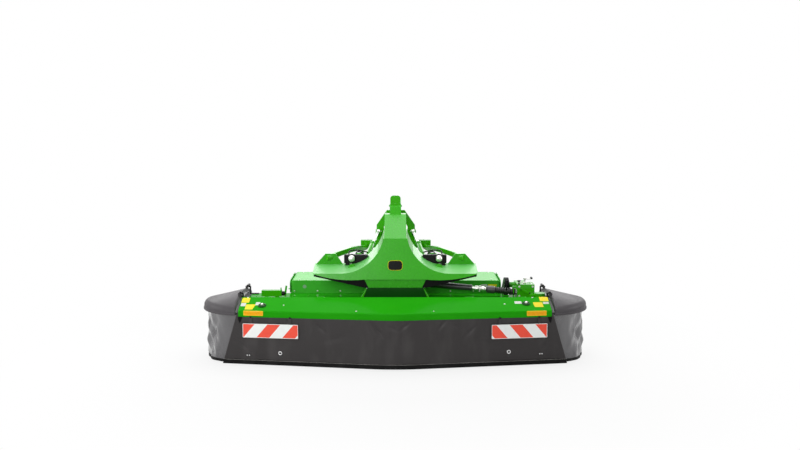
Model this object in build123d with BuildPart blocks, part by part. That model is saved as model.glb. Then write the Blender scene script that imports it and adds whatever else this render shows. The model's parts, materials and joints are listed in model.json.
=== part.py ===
"""Front-mounted disc mower conditioner, in millimetres.

X runs across the machine, +Y rearwards to the tractor and +Z up. The origin is on the ground,
under the middle of the machine's box. Lengths along the machine are written as distances
behind the nose of the front hood, and behind() turns them into Y.
"""
from build123d import *
from math import cos, radians, sin
import os

os.makedirs("parts", exist_ok=True)

# ---- Driving dimensions -------------------------------------------------------------------
overall_length = 2000      # nose of the hood to the back of the hitch brackets
seat_gap = 0.3             # between a piece that turns or hangs and what carries it

# cutterbar, with its discs in a row across the machine
disc_count = 8
disc_pitch = 430           # neighbouring discs mesh at this distance
disc_line = 620            # behind the nose
bar_bottom = 42
bar_height = 56
bar_depth = 240
bar_overhang = 265         # from the outer disc's axis to the end of the bar
boss_radius = 60
skid_width = 300
disc_length = 400
disc_width = 300
disc_thickness = 8
knife_reach = 250          # knife tip from the disc's axis
knife_length = 105
knife_width = 46
knife_thickness = 6
knife_over_bar = 6         # the knives sweep this far above the bar
cap_radius = 95
cap_height = 34
cone_radius = 135          # the tall cones on the two outer discs
cone_top_radius = 100
cone_height = 190

# frame across the machine
beam_line = 760
beam_size = 100
beam_bottom = 490
support_thickness = 12
support_front = 500
support_rear = 820
deck_front = 480
deck_thickness = 6

# front hood, its curtain and the warning plates
hood_sweep = 200           # the corners lie this far behind the nose
hood_rear = 442
hood_fold_height = 566
hood_lip_bottom = 500
hood_rear_height = 655
hood_thickness = 5
hinge_radius = 14
hinge_lug_thickness = 10
hinge_length = 120
hinge_places = (-1300, -760, 760, 1300)
curtain_thickness = 5
curtain_bottom = 12
curtain_lap = 30           # how far a curtain runs up behind what it hangs from
curtain_flare = 160        # each end spreads this far from top to foot
curtain_foot_line = 270    # the front curtain's foot ends this far behind the nose
plate_length = 564
plate_height = 141
plate_thickness = 3
plate_centre = 1235        # from the middle of the machine
plate_top = 436
plate_strap = 30
reflector_centre = 1405
reflector_length = 200
reflector_height = 50
reflector_thickness = 8

# folding side guards: round caps about the outer discs, cut straight along their hinges
guard_cut = 85             # the guards start this far outside the outer discs' axes
guard_radius = 500
guard_line = 692
guard_wall = 5
guard_flange = 42          # inward flange that the side curtain hangs from
guard_rim_bottom = 510
guard_crown_inner = (566, 676, 620)   # crown heights at the front, middle and rear
guard_crown_outer = (558, 594, 554)
guard_edge_radius = 14
guard_axis_height = 692
guard_hinge_lines = (535, 950)
guard_pin_radius = 6
guard_knuckle_radius = 13
guard_knuckle_length = 30
side_curtain_start = 285   # the side curtain starts behind the corner of the front one

# conditioner
rotor_line = 1250
rotor_height = 400
rotor_radius = 275         # tine tips
rotor_tube_radius = 75
rotor_side_gap = 16        # between the rotor's ends and the side walls
shaft_radius = 25
tine_rows = 4
tines_per_row = 16
tine_width = 14
tine_depth = 40
conditioner_inset = 371    # its side walls stand this far inside the outer discs' axes
wall_thickness = 6
housing_front = 1000
housing_front_top = 735
housing_rear_top = 760
housing_top_rear = 1450
housing_rear = 1600
housing_rear_bottom = 610
housing_corner = 40
housing_sheet = 5

# swath plates behind the conditioner
swath_hinge_line = 1640
swath_hinge_inset = 74     # from the side walls
swath_length = 340
swath_angle = 18           # degrees inwards
swath_bottom = 170
swath_height = 388

# drive case beside the conditioner
case_gap = 32              # from the right-hand side wall
case_width = 48
case_top_line = 930
case_top_height = 700
case_top_radius = 80
case_bottom_radius = 110
case_slot_front = 890      # the case passes the deck behind this line

# carrying arch
arch_lean = 14             # degrees that the front view is turned back
nose_line = 615
nose_height = 805
wing_half_width = 865
wing_tip_radius = 80       # rounding of the front corners, seen from above
wing_belly = 24            # how far the wing's lower edge has climbed, this far from its tip
wing_belly_inset = 130
wing_top = 64              # the wing's upper edge above the nose, along the leaning face
wing_depth = 300
wing_rise = 68             # the wings climb this far towards the rear
flare_radius = 462
neck_half_width = 116
crease = 433               # the neck bends back here, along the leaning face
neck_top_line = 1100
top_bar_half_width = 62
top_bar_height = 140
chin_front = 632
chin_rear = 850
chin_top_half = 329
chin_bottom_half = 274
chin_height = 98
pedestal_rear = 840
pedestal_top_half = 304
pedestal_bottom_half = 365
accumulator_offset = 465
badge_line = 1180

# hitch, to the category 2 dimensions
lower_pin_height = 900
lower_pin_radius = 14
lower_pin_length = 75
shoulder_half_width = 412.5
mast_height = 610          # top link hole above the lower pins
top_hole_radius = 12.95
ear_gap = 52
ear_thickness = 16
bracket_radius = 50
bracket_thickness = 30
crossbar_size = 90
crossbar_rise = 140        # above the lower pins
arm_radius = 26
arm_spread = (690, 345)    # the arms' front and rear ends lie this far from the middle

# drive
gearbox_half_width = 140
gearbox_upper_half = 100
input_rise = 105           # the shaft's axis above the front edge of the conditioner housing
input_radius = 17.45
input_length = 90
input_depth = 55           # the shaft's collar, sunk into the gearbox
drive_fall = 75            # from the gearbox down to the side drive
drive_guard_radius = 40
drive_guard_end_radius = 27
drive_shaft_radius = 15
bellows_radius = 37
bellows_length = 215

# parking stands
stand_offset = 305
stand_size = 50
stand_pivot_behind = 6     # the pivot lies this far behind the leg
foot_length = 130
foot_thickness = 12
fork_thickness = 8

# ---- Places worked out from them -----------------------------------------------------------
nose = -overall_length / 2
outer_disc = (disc_count - 1) * disc_pitch / 2
guard_inner = outer_disc + guard_cut
wall_inner = outer_disc - conditioner_inset
rotor_half_length = wall_inner - rotor_side_gap
swath_hinge_offset = wall_inner - swath_hinge_inset
case_inner = wall_inner + wall_thickness + case_gap
deck_half_width = guard_inner - 40
hood_half_width = guard_inner - 30
curtain_top_half = guard_inner - 15
curtain_bottom_half = curtain_top_half + curtain_flare
hinge_line = hood_rear + 16
bar_half_length = outer_disc + bar_overhang
bar_top = bar_bottom + bar_height
knife_level = bar_top + knife_over_bar
disc_level = knife_level + knife_thickness
beam_top = beam_bottom + beam_size
deck_top = beam_top + deck_thickness
hood_hinge_height = hood_rear_height - hinge_radius
sweep_slope = hood_sweep / hood_half_width
lower_pin_line = overall_length - bracket_radius
lean_sin = sin(radians(arch_lean))
lean_cos = cos(radians(arch_lean))
top_hole_height = lower_pin_height + mast_height
top_bar_top = top_hole_height + 50
top_bar_bottom = top_bar_top - top_bar_height
top_bar_rear = overall_length - 110
neck_top_height = top_bar_top - 110
crossbar_line = overall_length - 171
crossbar_rear = crossbar_line + crossbar_size / 2
crossbar_height = lower_pin_height + crossbar_rise
chin_bottom = nose_height - chin_height
wing_rear_top = nose_height + wing_top + wing_rise - 10
# the arms' and the side drive's ends: across, behind the nose and up
arm_front = Vector(arm_spread[0], nose_line + wing_depth, nose_height + 200)
arm_rear = Vector(arm_spread[1], crossbar_line - crossbar_size / 2, crossbar_height)
drive_start = Vector(gearbox_half_width, housing_front - 75, deck_top + 132)
drive_end = Vector(case_inner + case_width + 65, beam_line - 3, drive_start.Z - drive_fall)
input_height = housing_front_top + input_rise
gearbox_rear = housing_front + 130
gearbox_top = input_height + 65
# the upper gear housing starts just behind the arch's leaning back
gearbox_upper_front = nose_line + wing_depth + (gearbox_top - nose_height - wing_rise) * lean_sin / lean_cos + 2
stand_pivot_height = crossbar_height + 15


def behind(distance):
    """Y of a place this far behind the nose."""
    return nose + distance


def save(builder, name):
    """Labels a finished piece and writes its file."""
    builder.part.label = name
    export_step(builder.part, f"parts/{name}.step")


def side_plane(x):
    """Sketch plane across the machine at x, drawn with Y to the right and Z up."""
    return Plane(origin=(x, 0, 0), x_dir=(0, 1, 0), z_dir=(1, 0, 0))


def side_outline(points):
    """Flat outline of (distance behind the nose, height) points, on the sketch in hand."""
    Polygon(*[(behind(d), z) for d, z in points], align=None)


# ---- Cutterbar, skids and discs ------------------------------------------------------------
disc_places = [(i - (disc_count - 1) / 2) * disc_pitch for i in range(disc_count)]

with BuildPart() as cutterbar:
    with BuildSketch(side_plane(-bar_half_length)):
        with Locations((behind(disc_line), bar_bottom + bar_height / 2)):
            SlotOverall(bar_depth, bar_height)
    extrude(amount=2 * bar_half_length)
    with Locations([(x, behind(disc_line), bar_top - 5) for x in disc_places]):
        Cylinder(boss_radius, knife_over_bar + 5 - seat_gap, align=(Align.CENTER, Align.CENTER, Align.MIN))
save(cutterbar, "cutterbar")

# distance from the disc line and height of the skid's outline, from its rear top corner round
skid_outline = [(92, bar_bottom), (-92, bar_bottom), (-118, bar_bottom), (-126, 70), (-150, 66),
                (-104, 0), (124, 0), (138, 24)]
with BuildPart() as skids:
    for x in disc_places:
        with BuildSketch(side_plane(x - skid_width / 2)):
            side_outline([(disc_line + d, z) for d, z in skid_outline])
        extrude(amount=skid_width)
save(skids, "skid_shoes")

for number, x in enumerate(disc_places, start=1):
    turned = 90 * (number % 2)
    outermost = number in (1, disc_count)
    with BuildPart() as disc:
        with BuildSketch(Plane.XY.offset(disc_level)):
            with Locations((x, behind(disc_line))):
                Ellipse(disc_length / 2, disc_width / 2, rotation=turned)
        extrude(amount=disc_thickness)
        with Locations((x, behind(disc_line), knife_level)):
            Cylinder(boss_radius, knife_thickness, align=(Align.CENTER, Align.CENTER, Align.MIN))
        with Locations(Location((x, behind(disc_line), knife_level), (0, 0, turned))):
            for side in (-1, 1):
                with Locations((side * (knife_reach - knife_length / 2), 0, 0)):
                    Box(knife_length, knife_width, knife_thickness,
                        align=(Align.CENTER, Align.CENTER, Align.MIN))
        with Locations((x, behind(disc_line), disc_level + disc_thickness)):
            if outermost:
                Cone(cone_radius, cone_top_radius, cone_height, align=(Align.CENTER, Align.CENTER, Align.MIN))
            else:
                Cone(cap_radius, cap_radius / 2, cap_height, align=(Align.CENTER, Align.CENTER, Align.MIN))
            if number == disc_count:
                Cylinder(22, beam_top - seat_gap - disc_level - disc_thickness,
                         align=(Align.CENTER, Align.CENTER, Align.MIN))
    save(disc, f"disc_{number}")

# ---- Header frame --------------------------------------------------------------------------
with BuildPart() as beam:
    with Locations((0, behind(beam_line), beam_bottom)):
        Box(2 * bar_half_length, beam_size, beam_size, align=(Align.CENTER, Align.CENTER, Align.MIN))
    chamfer(beam.edges().filter_by(Axis.X), 10)
save(beam, "main_beam")

for side, name in ((-1, "left"), (1, "right")):
    with BuildPart() as support:
        with BuildSketch(side_plane(side * bar_half_length)):
            side_outline([(support_front, bar_bottom), (support_rear, bar_bottom),
                          (support_rear, beam_top - 60), (support_rear - 60, beam_top),
                          (support_front + 170, beam_top), (support_front, 200)])
        extrude(amount=side * support_thickness)
    save(support, f"{name}_end_support")

housing_half_width = wall_inner + wall_thickness + housing_sheet
with BuildPart() as deck:
    with Locations((0, behind(deck_front), beam_top)):
        Box(2 * deck_half_width, housing_front - deck_front, deck_thickness,
            align=(Align.CENTER, Align.MIN, Align.MIN))
    with Locations((disc_places[-1], behind(disc_line), beam_top)):
        Cylinder(60, 3 * deck_thickness, mode=Mode.SUBTRACT)
    with Locations((case_inner - 8, behind(case_slot_front), beam_top)):
        Box(case_width + 16, 2 * (housing_front - case_slot_front), 3 * deck_thickness,
            align=(Align.MIN, Align.MIN, Align.CENTER), mode=Mode.SUBTRACT)
save(deck, "deck")

# ---- Front hood, hinged along its rear edge ------------------------------------------------
def hood_section(x):
    """The folded sheet of the hood, seen from the side at x."""
    front = sweep_slope * abs(x)
    rise = hood_thickness
    side_outline([(front, hood_lip_bottom), (front, hood_fold_height), (hood_rear, hood_rear_height),
                  (hood_rear, hood_rear_height - rise), (front + rise, hood_fold_height - rise),
                  (front + rise, hood_lip_bottom)])


with BuildPart() as hood:
    for x in (-hood_half_width, 0, hood_half_width):
        with BuildSketch(side_plane(x)):
            hood_section(x)
    loft(ruled=True)
    with Locations([(x, behind(hinge_line), hood_hinge_height) for x in hinge_places]):
        Cylinder(hinge_radius, hinge_length / 2, rotation=(0, 90, 0))
        Box(hinge_length / 2, hinge_line - hood_rear + 14, hinge_radius - hood_thickness / 2,
            align=(Align.CENTER, Align.MAX, Align.MIN))
        Cylinder(5 + seat_gap, hinge_length, rotation=(0, 90, 0), mode=Mode.SUBTRACT)
save(hood, "front_hood")

lug_offset = hinge_length / 4 + seat_gap + hinge_lug_thickness / 2
with BuildPart() as hood_hinges:
    for x in hinge_places:
        for end in (-1, 1):
            with Locations((x + end * lug_offset, behind(hinge_line), deck_top)):
                Box(hinge_lug_thickness, 2 * hinge_radius, hood_hinge_height - deck_top,
                    align=(Align.CENTER, Align.CENTER, Align.MIN))
            with Locations((x + end * lug_offset, behind(hinge_line), hood_hinge_height)):
                Cylinder(hinge_radius, hinge_lug_thickness, rotation=(0, 90, 0))
        with Locations((x, behind(hinge_line) - hinge_radius, deck_top)):
            Box(hinge_length, 90, 6, align=(Align.CENTER, Align.MIN, Align.MIN))
        with Locations((x, behind(hinge_line), hood_hinge_height)):
            Cylinder(5, hinge_length / 2 + 3 * hinge_lug_thickness, rotation=(0, 90, 0))
save(hood_hinges, "hood_hinges")

# ---- Curtain, warning plates and reflectors on the hood -------------------------------------
hood_face = seat_gap + hood_thickness      # the curtain hangs this far behind the lip's face


def curtain_strip(half, nose_distance, corner_distance):
    """The curtain's cut at one height: a thin strip with a shallow point at the nose."""
    front = [(-half, corner_distance), (0, nose_distance), (half, corner_distance)]
    back = [(x, d + curtain_thickness) for x, d in reversed(front)]
    Polygon(*[(x, behind(d)) for x, d in front + back], align=None)


with BuildPart() as front_curtain:
    with BuildSketch(Plane.XY.offset(curtain_bottom)):
        curtain_strip(curtain_bottom_half, hood_face, curtain_foot_line)
    with BuildSketch(Plane.XY.offset(hood_lip_bottom + curtain_lap)):
        curtain_strip(curtain_top_half, hood_face, sweep_slope * curtain_top_half + hood_face)
    loft(ruled=True)
save(front_curtain, "front_curtain")


def lip_plane(x):
    """Sketch plane on the face of the hood's right-hand lip at x, looking forwards."""
    return Plane(origin=(x, behind(sweep_slope * x), 0), x_dir=(1, sweep_slope, 0), z_dir=(sweep_slope, -1, 0))


def save_pair(right, name):
    """Saves a right-hand piece and its mirror image on the left."""
    save(right, f"right_{name}")
    with BuildPart() as left:
        mirror(right.part, about=Plane.YZ)
    save(left, f"left_{name}")


def save_both(right, name):
    """Saves a right-hand piece and its mirror image as one node."""
    with BuildPart() as both:
        add(right.part)
        mirror(right.part, about=Plane.YZ)
    save(both, name)


with BuildPart() as warning_plate:
    with BuildSketch(lip_plane(plate_centre)):
        with Locations((0, plate_top - plate_height / 2)):
            Rectangle(plate_length, plate_height)
        for along in (-200, 200):
            with Locations((along, plate_top - 2)):
                Rectangle(plate_strap, hood_lip_bottom + 14 - plate_top, align=(Align.CENTER, Align.MIN))
    extrude(amount=plate_thickness)
save_pair(warning_plate, "warning_plate")

with BuildPart() as reflector:
    with BuildSketch(lip_plane(reflector_centre)):
        with Locations((0, hood_fold_height - reflector_height / 2)):
            RectangleRounded(reflector_length, reflector_height, 6)
    extrude(amount=reflector_thickness)
save_both(reflector, "reflectors")

# ---- Folding side guards ---------------------------------------------------------------------
guard_centre = disc_places[-1]
guard_outer = guard_centre + guard_radius
guard_ends = (guard_line - guard_radius, guard_line + guard_radius)

def guard_block(inset):
    """A guard as a solid cap, drawn in all round from its outside by inset."""
    bottom = guard_rim_bottom - inset
    front, rear = guard_ends[0] + inset, guard_ends[1] - inset
    with BuildPart() as block:
        for x, crown in ((guard_inner + inset, guard_crown_inner), (guard_outer, guard_crown_outer)):
            front_z, middle_z, rear_z = [height - inset for height in crown]
            with BuildSketch(side_plane(x)):
                with BuildLine():
                    Polyline((behind(front), front_z), (behind(front), bottom),
                             (behind(rear), bottom), (behind(rear), rear_z))
                    ThreePointArc((behind(rear), rear_z), (behind(guard_line), middle_z),
                                  (behind(front), front_z))
                make_face()
        loft(ruled=True)
        with BuildSketch(Plane.XY.offset(bottom)):
            with Locations((guard_centre, behind(guard_line))):
                Circle(guard_radius - inset)
        extrude(amount=guard_radius, mode=Mode.INTERSECT)
    return block.part


with BuildPart() as guard:
    add(guard_block(0))
    crown = guard.faces().sort_by(Axis.Z)[-1]
    fillet(crown.edges(), guard_edge_radius)
    add(guard_block(guard_wall), mode=Mode.SUBTRACT)
    with Locations((guard_inner, behind(beam_line), beam_top + 10)):
        Box(4 * guard_wall, beam_size + 40, beam_size + 20, align=(Align.CENTER, Align.CENTER, Align.MAX),
            mode=Mode.SUBTRACT)
    with BuildSketch(Plane.XY.offset(guard_rim_bottom)):
        with Locations((guard_centre, behind(guard_line))):
            Circle(guard_radius - guard_wall / 2)
            Circle(guard_radius - guard_flange, mode=Mode.SUBTRACT)
        with Locations((guard_inner + guard_wall / 2, behind(guard_line))):
            Rectangle(2 * guard_radius, 2 * guard_radius, align=(Align.MAX, Align.CENTER), mode=Mode.SUBTRACT)
    extrude(amount=guard_wall)
    for line in guard_hinge_lines:
        for end in (-1, 1):
            knuckle_line = behind(line) + end * (guard_knuckle_length + seat_gap)
            with Locations((guard_inner, knuckle_line, guard_axis_height)):
                Cylinder(guard_knuckle_radius, guard_knuckle_length, rotation=(90, 0, 0))
                Box(2 * guard_knuckle_radius, guard_knuckle_length,
                    guard_axis_height - guard_crown_inner[1] + 34,
                    align=(Align.MIN, Align.CENTER, Align.MAX))
        with Locations((guard_inner, behind(line), guard_axis_height)):
            Cylinder(guard_pin_radius + seat_gap, 4 * guard_knuckle_length, rotation=(90, 0, 0),
                     mode=Mode.SUBTRACT)
save_pair(guard, "side_guard")

with BuildPart() as guard_hinges:
    for line in guard_hinge_lines:
        with Locations((guard_inner, behind(line), guard_axis_height)):
            Cylinder(guard_knuckle_radius, guard_knuckle_length, rotation=(90, 0, 0))
            Cylinder(guard_pin_radius, 3 * guard_knuckle_length + 10, rotation=(90, 0, 0))
        with BuildSketch(Plane.XZ.offset(-behind(line) - guard_knuckle_length / 2)):
            Polygon((guard_inner, guard_axis_height + guard_knuckle_radius),
                    (guard_inner, guard_axis_height - guard_knuckle_radius),
                    (guard_inner - 14, guard_axis_height - 24), (guard_inner - 14, deck_top),
                    (deck_half_width - 70, deck_top), (deck_half_width - 70, deck_top + 10),
                    (guard_inner - 26, deck_top + 10), (guard_inner - 26, guard_axis_height - 14), align=None)
        extrude(amount=guard_knuckle_length)
save_both(guard_hinges, "guard_hinges")

with BuildPart() as side_curtain:
    with BuildSketch(Plane.XY.offset(curtain_bottom)):
        with Locations((guard_centre, behind(guard_line))):
            Circle(guard_radius - guard_flange - seat_gap)
            Circle(guard_radius - guard_flange - seat_gap - curtain_thickness, mode=Mode.SUBTRACT)
        with Locations((guard_inner + guard_wall + 1, behind(guard_line))):
            Rectangle(2 * guard_radius, 2 * guard_radius, align=(Align.MAX, Align.CENTER), mode=Mode.SUBTRACT)
        with Locations((guard_centre, behind(side_curtain_start))):
            Rectangle(2 * guard_radius, guard_radius, align=(Align.CENTER, Align.MAX), mode=Mode.SUBTRACT)
    extrude(amount=guard_rim_bottom + guard_wall + 12 - curtain_bottom)
save_pair(side_curtain, "side_curtain")

# ---- Conditioner -----------------------------------------------------------------------------
with BuildPart() as housing:
    with BuildSketch(side_plane(-housing_half_width)):
        side_outline([(housing_front, beam_top), (housing_front, housing_front_top),
                      (housing_top_rear, housing_rear_top), (housing_rear, housing_rear_bottom),
                      (housing_rear, beam_top)])
    extrude(amount=2 * housing_half_width)
    ends = housing.faces().sort_by(Axis.X)
    top_edges = (ends[0].edges() + ends[-1].edges()).filter_by(lambda edge: edge.center().Z > beam_top + 1)
    fillet(top_edges, housing_corner)
    offset(amount=-housing_sheet, openings=housing.faces().sort_by(Axis.Z)[0])
save(housing, "conditioner_housing")

wall_outline = [(900, 130), (900, beam_top), (1050, beam_top), (1050, housing_front_top - 60),
                (1430, housing_rear_top - 60), (1550, 590), (1630, 590), (1630, 320), (1420, 130)]
for side, name in ((-1, "left"), (1, "right")):
    with BuildPart() as wall:
        with BuildSketch(side_plane(side * wall_inner)):
            side_outline(wall_outline)
            with Locations((behind(rotor_line), rotor_height)):
                Circle(shaft_radius + seat_gap, mode=Mode.SUBTRACT)
        extrude(amount=side * wall_thickness)
        with BuildSketch(side_plane(side * (wall_inner + wall_thickness))):
            with Locations((behind(rotor_line), rotor_height)):
                Circle(62)
                Circle(shaft_radius + seat_gap, mode=Mode.SUBTRACT)
        extrude(amount=side * 22)
    save(wall, f"{name}_conditioner_wall")

with BuildPart() as rotor:
    with Locations(Location((0, behind(rotor_line), rotor_height), (0, 90, 0))):
        Cylinder(rotor_tube_radius, 2 * rotor_half_length)
        Cylinder(shaft_radius, 2 * (wall_inner + wall_thickness + 30))
    for row in range(tine_rows):
        shift = (row % 2) * rotor_half_length / tines_per_row
        for i in range(tines_per_row):
            x = -rotor_half_length + 45 + shift + i * (2 * rotor_half_length - 90) / tines_per_row
            turn = 45 + 360 * row / tine_rows
            with Locations(Location((x, behind(rotor_line), rotor_height), (turn, 0, 0))):
                with Locations((0, 0, rotor_tube_radius - 5)):
                    Box(tine_width, tine_depth, rotor_radius - rotor_tube_radius + 5,
                        align=(Align.CENTER, Align.CENTER, Align.MIN))
save(rotor, "tine_rotor")

with BuildPart() as drive_case:
    with BuildSketch(side_plane(case_inner)):
        with Locations((behind(case_top_line), case_top_height)):
            Circle(case_top_radius)
        with Locations((behind(rotor_line), rotor_height)):
            Circle(case_bottom_radius)
        make_hull()
    extrude(amount=case_width)
save(drive_case, "conditioner_drive_case")

for side, name in ((-1, "left"), (1, "right")):
    with BuildPart() as swath_plate:
        with Locations(Location((side * swath_hinge_offset, behind(swath_hinge_line), swath_bottom),
                                (0, 0, side * swath_angle))):
            Box(4, swath_length, swath_height, align=(Align.CENTER, Align.MIN, Align.MIN))
            Cylinder(12, swath_height, align=(Align.CENTER, Align.CENTER, Align.MIN))
        with Locations((side * swath_hinge_offset, behind(swath_hinge_line), 0)):
            Cylinder(8 + seat_gap, 3 * swath_height, mode=Mode.SUBTRACT)
    save(swath_plate, f"{name}_swath_plate")

with BuildPart() as swath_hinges:
    for side in (-1, 1):
        with Locations((side * swath_hinge_offset, behind(swath_hinge_line), swath_bottom - 20)):
            Cylinder(8, swath_height + 50, align=(Align.CENTER, Align.CENTER, Align.MIN))
        for low in (swath_bottom - 20 - seat_gap, swath_bottom + swath_height + seat_gap):
            with Locations((side * (swath_hinge_offset - 30), behind(swath_hinge_line) + 14, low)):
                Box(wall_inner - swath_hinge_offset + 30, 60, 20,
                    align=(Align.MIN if side > 0 else Align.MAX, Align.MAX, Align.MIN))
save(swath_hinges, "swath_hinges")

# ---- Carrying arch ---------------------------------------------------------------------------
def face_point(rise):
    """Distance behind the nose and height of a place this far up the arch's leaning face."""
    return nose_line + rise * lean_sin, nose_height + rise * lean_cos


face_plane = Plane(origin=(0, behind(nose_line), nose_height), x_dir=(1, 0, 0), z_dir=(0, -lean_cos, lean_sin))
wing_way = (0, wing_depth, wing_rise)
flare_x = neck_half_width + flare_radius
flare_centre = wing_top + flare_radius
crease_x = flare_x - (flare_radius ** 2 - (flare_centre - crease) ** 2) ** 0.5
flare_middle = (flare_x - flare_radius * cos(radians(52)), flare_centre - flare_radius * sin(radians(52)))

with BuildPart() as arch:
    with BuildSketch(face_plane):
        with BuildLine():
            Polyline((flare_x, wing_top), (wing_half_width, wing_top), (wing_half_width, wing_top - 4))
            ThreePointArc((wing_half_width, wing_top - 4), (wing_half_width - wing_belly_inset, wing_belly),
                          (chin_top_half, 0))
            Line((chin_top_half, 0), (0, 0))
            ThreePointArc((flare_x, wing_top), flare_middle, (crease_x, crease))
            Line((crease_x, crease), (0, crease))
            mirror(about=Plane.YZ)
        make_face()
    extrude(amount=(wing_depth ** 2 + wing_rise ** 2) ** 0.5, dir=wing_way)
    with BuildSketch(Plane.XY.offset(chin_bottom)):
        with Locations((0, behind(nose_line - wing_tip_radius / 5))):
            RectangleRounded(2 * wing_half_width, overall_length, wing_tip_radius,
                             align=(Align.CENTER, Align.MIN))
    extrude(amount=overall_length, mode=Mode.INTERSECT)
    crease_d, crease_z = face_point(crease)
    with BuildSketch(side_plane(-neck_half_width)):
        side_outline([(crease_d, crease_z), (neck_top_line, neck_top_height),
                      (neck_top_line + 140, neck_top_height), (neck_top_line + 100, neck_top_height - 90),
                      (crease_d + wing_depth - 6, crease_z - 60), (crease_d + 30, crease_z - 60)])
    extrude(amount=2 * neck_half_width)
    with BuildSketch(side_plane(-top_bar_half_width)):
        side_outline([(neck_top_line - 12, neck_top_height - 12), (neck_top_line + 30, top_bar_top - 30),
                      (neck_top_line + 80, top_bar_top), (top_bar_rear, top_bar_top),
                      (top_bar_rear, top_bar_bottom + 40), (top_bar_rear - 50, top_bar_bottom),
                      (neck_top_line + 90, top_bar_bottom - 70)])
    extrude(amount=2 * top_bar_half_width)
    with BuildSketch(Plane.XZ.offset(-behind(chin_front))):
        Polygon((-chin_top_half + 2, nose_height + 12), (-chin_bottom_half, chin_bottom),
                (chin_bottom_half, chin_bottom), (chin_top_half - 2, nose_height + 12), align=None)
    extrude(amount=-(chin_rear - chin_front))
    for side in (-1, 1):
        with BuildSketch(Plane.XZ.offset(-behind(arm_front.Y - 20))):
            Polygon((side * (arm_spread[0] + 165), wing_rear_top - 2),
                    (side * (arm_spread[0] + 60), arm_front.Z + 37),
                    (side * (arm_spread[0] - 50), arm_front.Z + 37),
                    (side * (arm_spread[0] - 130), wing_rear_top - 2), align=None)
        extrude(amount=-20)
save(arch, "arch")

with BuildPart() as web:
    with BuildSketch(Plane.XZ.offset(-behind(chin_front + 25))):
        Polygon((chin_bottom_half, chin_bottom + 6), (chin_bottom_half + 60, chin_bottom + 8),
                (wing_half_width - 12, nose_height + 28), (wing_half_width - 12, nose_height + 55),
                (chin_bottom_half, nose_height + 40), align=None)
    extrude(amount=-30)
    add(arch.part, mode=Mode.SUBTRACT)
save_both(web, "wing_webs")

with BuildPart() as arch_blocks:
    with BuildSketch(Plane.XZ.offset(24 - behind(badge_line))):
        Polygon((-53, top_bar_top - 50), (53, top_bar_top - 50), (73, top_bar_top - 24), (53, top_bar_top + 2),
                (-53, top_bar_top + 2), (-73, top_bar_top - 24), align=None)
    extrude(amount=-48)
    with BuildSketch(Plane.XZ.offset(11 - behind(badge_line))):
        with Locations((0, top_bar_top + 2)):
            Rectangle(114, 48, align=(Align.CENTER, Align.MIN))
        with Locations((0, top_bar_top + 50)):
            RectangleRounded(114, 80, 34)
    extrude(amount=-22)
    add(arch.part, mode=Mode.SUBTRACT)
save(arch_blocks, "badge_block")

with BuildPart() as face_badge:
    with BuildSketch(face_plane):
        with Locations((0, 150)):
            RectangleRounded(150, 100, 8)
    extrude(amount=4)
save(face_badge, "face_badge")

with BuildPart() as accumulator:
    with Locations((accumulator_offset + 85, behind(nose_line + 235), nose_height + 80)):
        Box(260, 64, 155, align=(Align.MAX, Align.MIN, Align.MIN))
    with Locations((accumulator_offset, behind(nose_line + 222), nose_height + 194)):
        Cylinder(37, 30, rotation=(90, 0, 0))
    with Locations((accumulator_offset, behind(nose_line + 207), nose_height + 194)):
        Sphere(37)
    add(arch.part, mode=Mode.SUBTRACT)
save_both(accumulator, "accumulators")

with BuildPart() as pedestal:
    with BuildSketch(Plane.XZ.offset(-behind(chin_front))):
        Polygon((-pedestal_bottom_half, deck_top), (pedestal_bottom_half, deck_top),
                (pedestal_top_half, chin_bottom), (-pedestal_top_half, chin_bottom), align=None)
    extrude(amount=-(pedestal_rear - chin_front))
    with BuildSketch(Plane.XZ.offset(-behind(chin_front))):
        Polygon((-pedestal_bottom_half + 30, deck_top), (pedestal_bottom_half - 30, deck_top),
                (pedestal_top_half - 20, chin_bottom - 34), (-pedestal_top_half + 20, chin_bottom - 34),
                align=None)
    extrude(amount=-(pedestal_rear - chin_front - 12), mode=Mode.SUBTRACT)
save(pedestal, "pedestal")

# ---- Hitch -----------------------------------------------------------------------------------
with BuildPart() as headstock:
    with Locations((0, behind(crossbar_line), crossbar_height)):
        Box(2 * (shoulder_half_width - bracket_thickness), crossbar_size, crossbar_size)
    with BuildSketch(Plane.XZ.offset(-behind(crossbar_line - 20))):
        for side in (-1, 1):
            Polygon((side * top_bar_half_width, top_bar_bottom + 20), (side * 105, top_bar_bottom + 20),
                    (side * 226, crossbar_height + 225), (side * 226, crossbar_height + 40),
                    (side * 120, crossbar_height + 40), (side * 140, crossbar_height + 200),
                    (side * top_bar_half_width, top_bar_bottom - 40), align=None)
    extrude(amount=-40)
    for side in (-1, 1):
        with BuildSketch(side_plane(side * ear_gap / 2)):
            with Locations((behind(lower_pin_line), top_hole_height)):
                Circle(bracket_radius)
            with Locations((behind(top_bar_rear + 10), top_hole_height - 10)):
                Rectangle(20, 2 * bracket_radius)
            make_hull()
            with Locations((behind(lower_pin_line), top_hole_height)):
                Circle(top_hole_radius, mode=Mode.SUBTRACT)
        extrude(amount=side * ear_thickness)
save(headstock, "headstock")

with BuildPart() as lower_bracket:
    with BuildSketch(side_plane(shoulder_half_width)):
        with Locations((behind(lower_pin_line), lower_pin_height)):
            Circle(bracket_radius)
        with Locations((behind(crossbar_line), crossbar_height)):
            Rectangle(crossbar_size, crossbar_size)
        make_hull()
    extrude(amount=-bracket_thickness)
    with BuildSketch(side_plane(shoulder_half_width)):
        with Locations((behind(lower_pin_line), lower_pin_height)):
            Circle(lower_pin_radius)
    extrude(amount=lower_pin_length)
save_pair(lower_bracket, "lower_hitch_pin")

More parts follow.
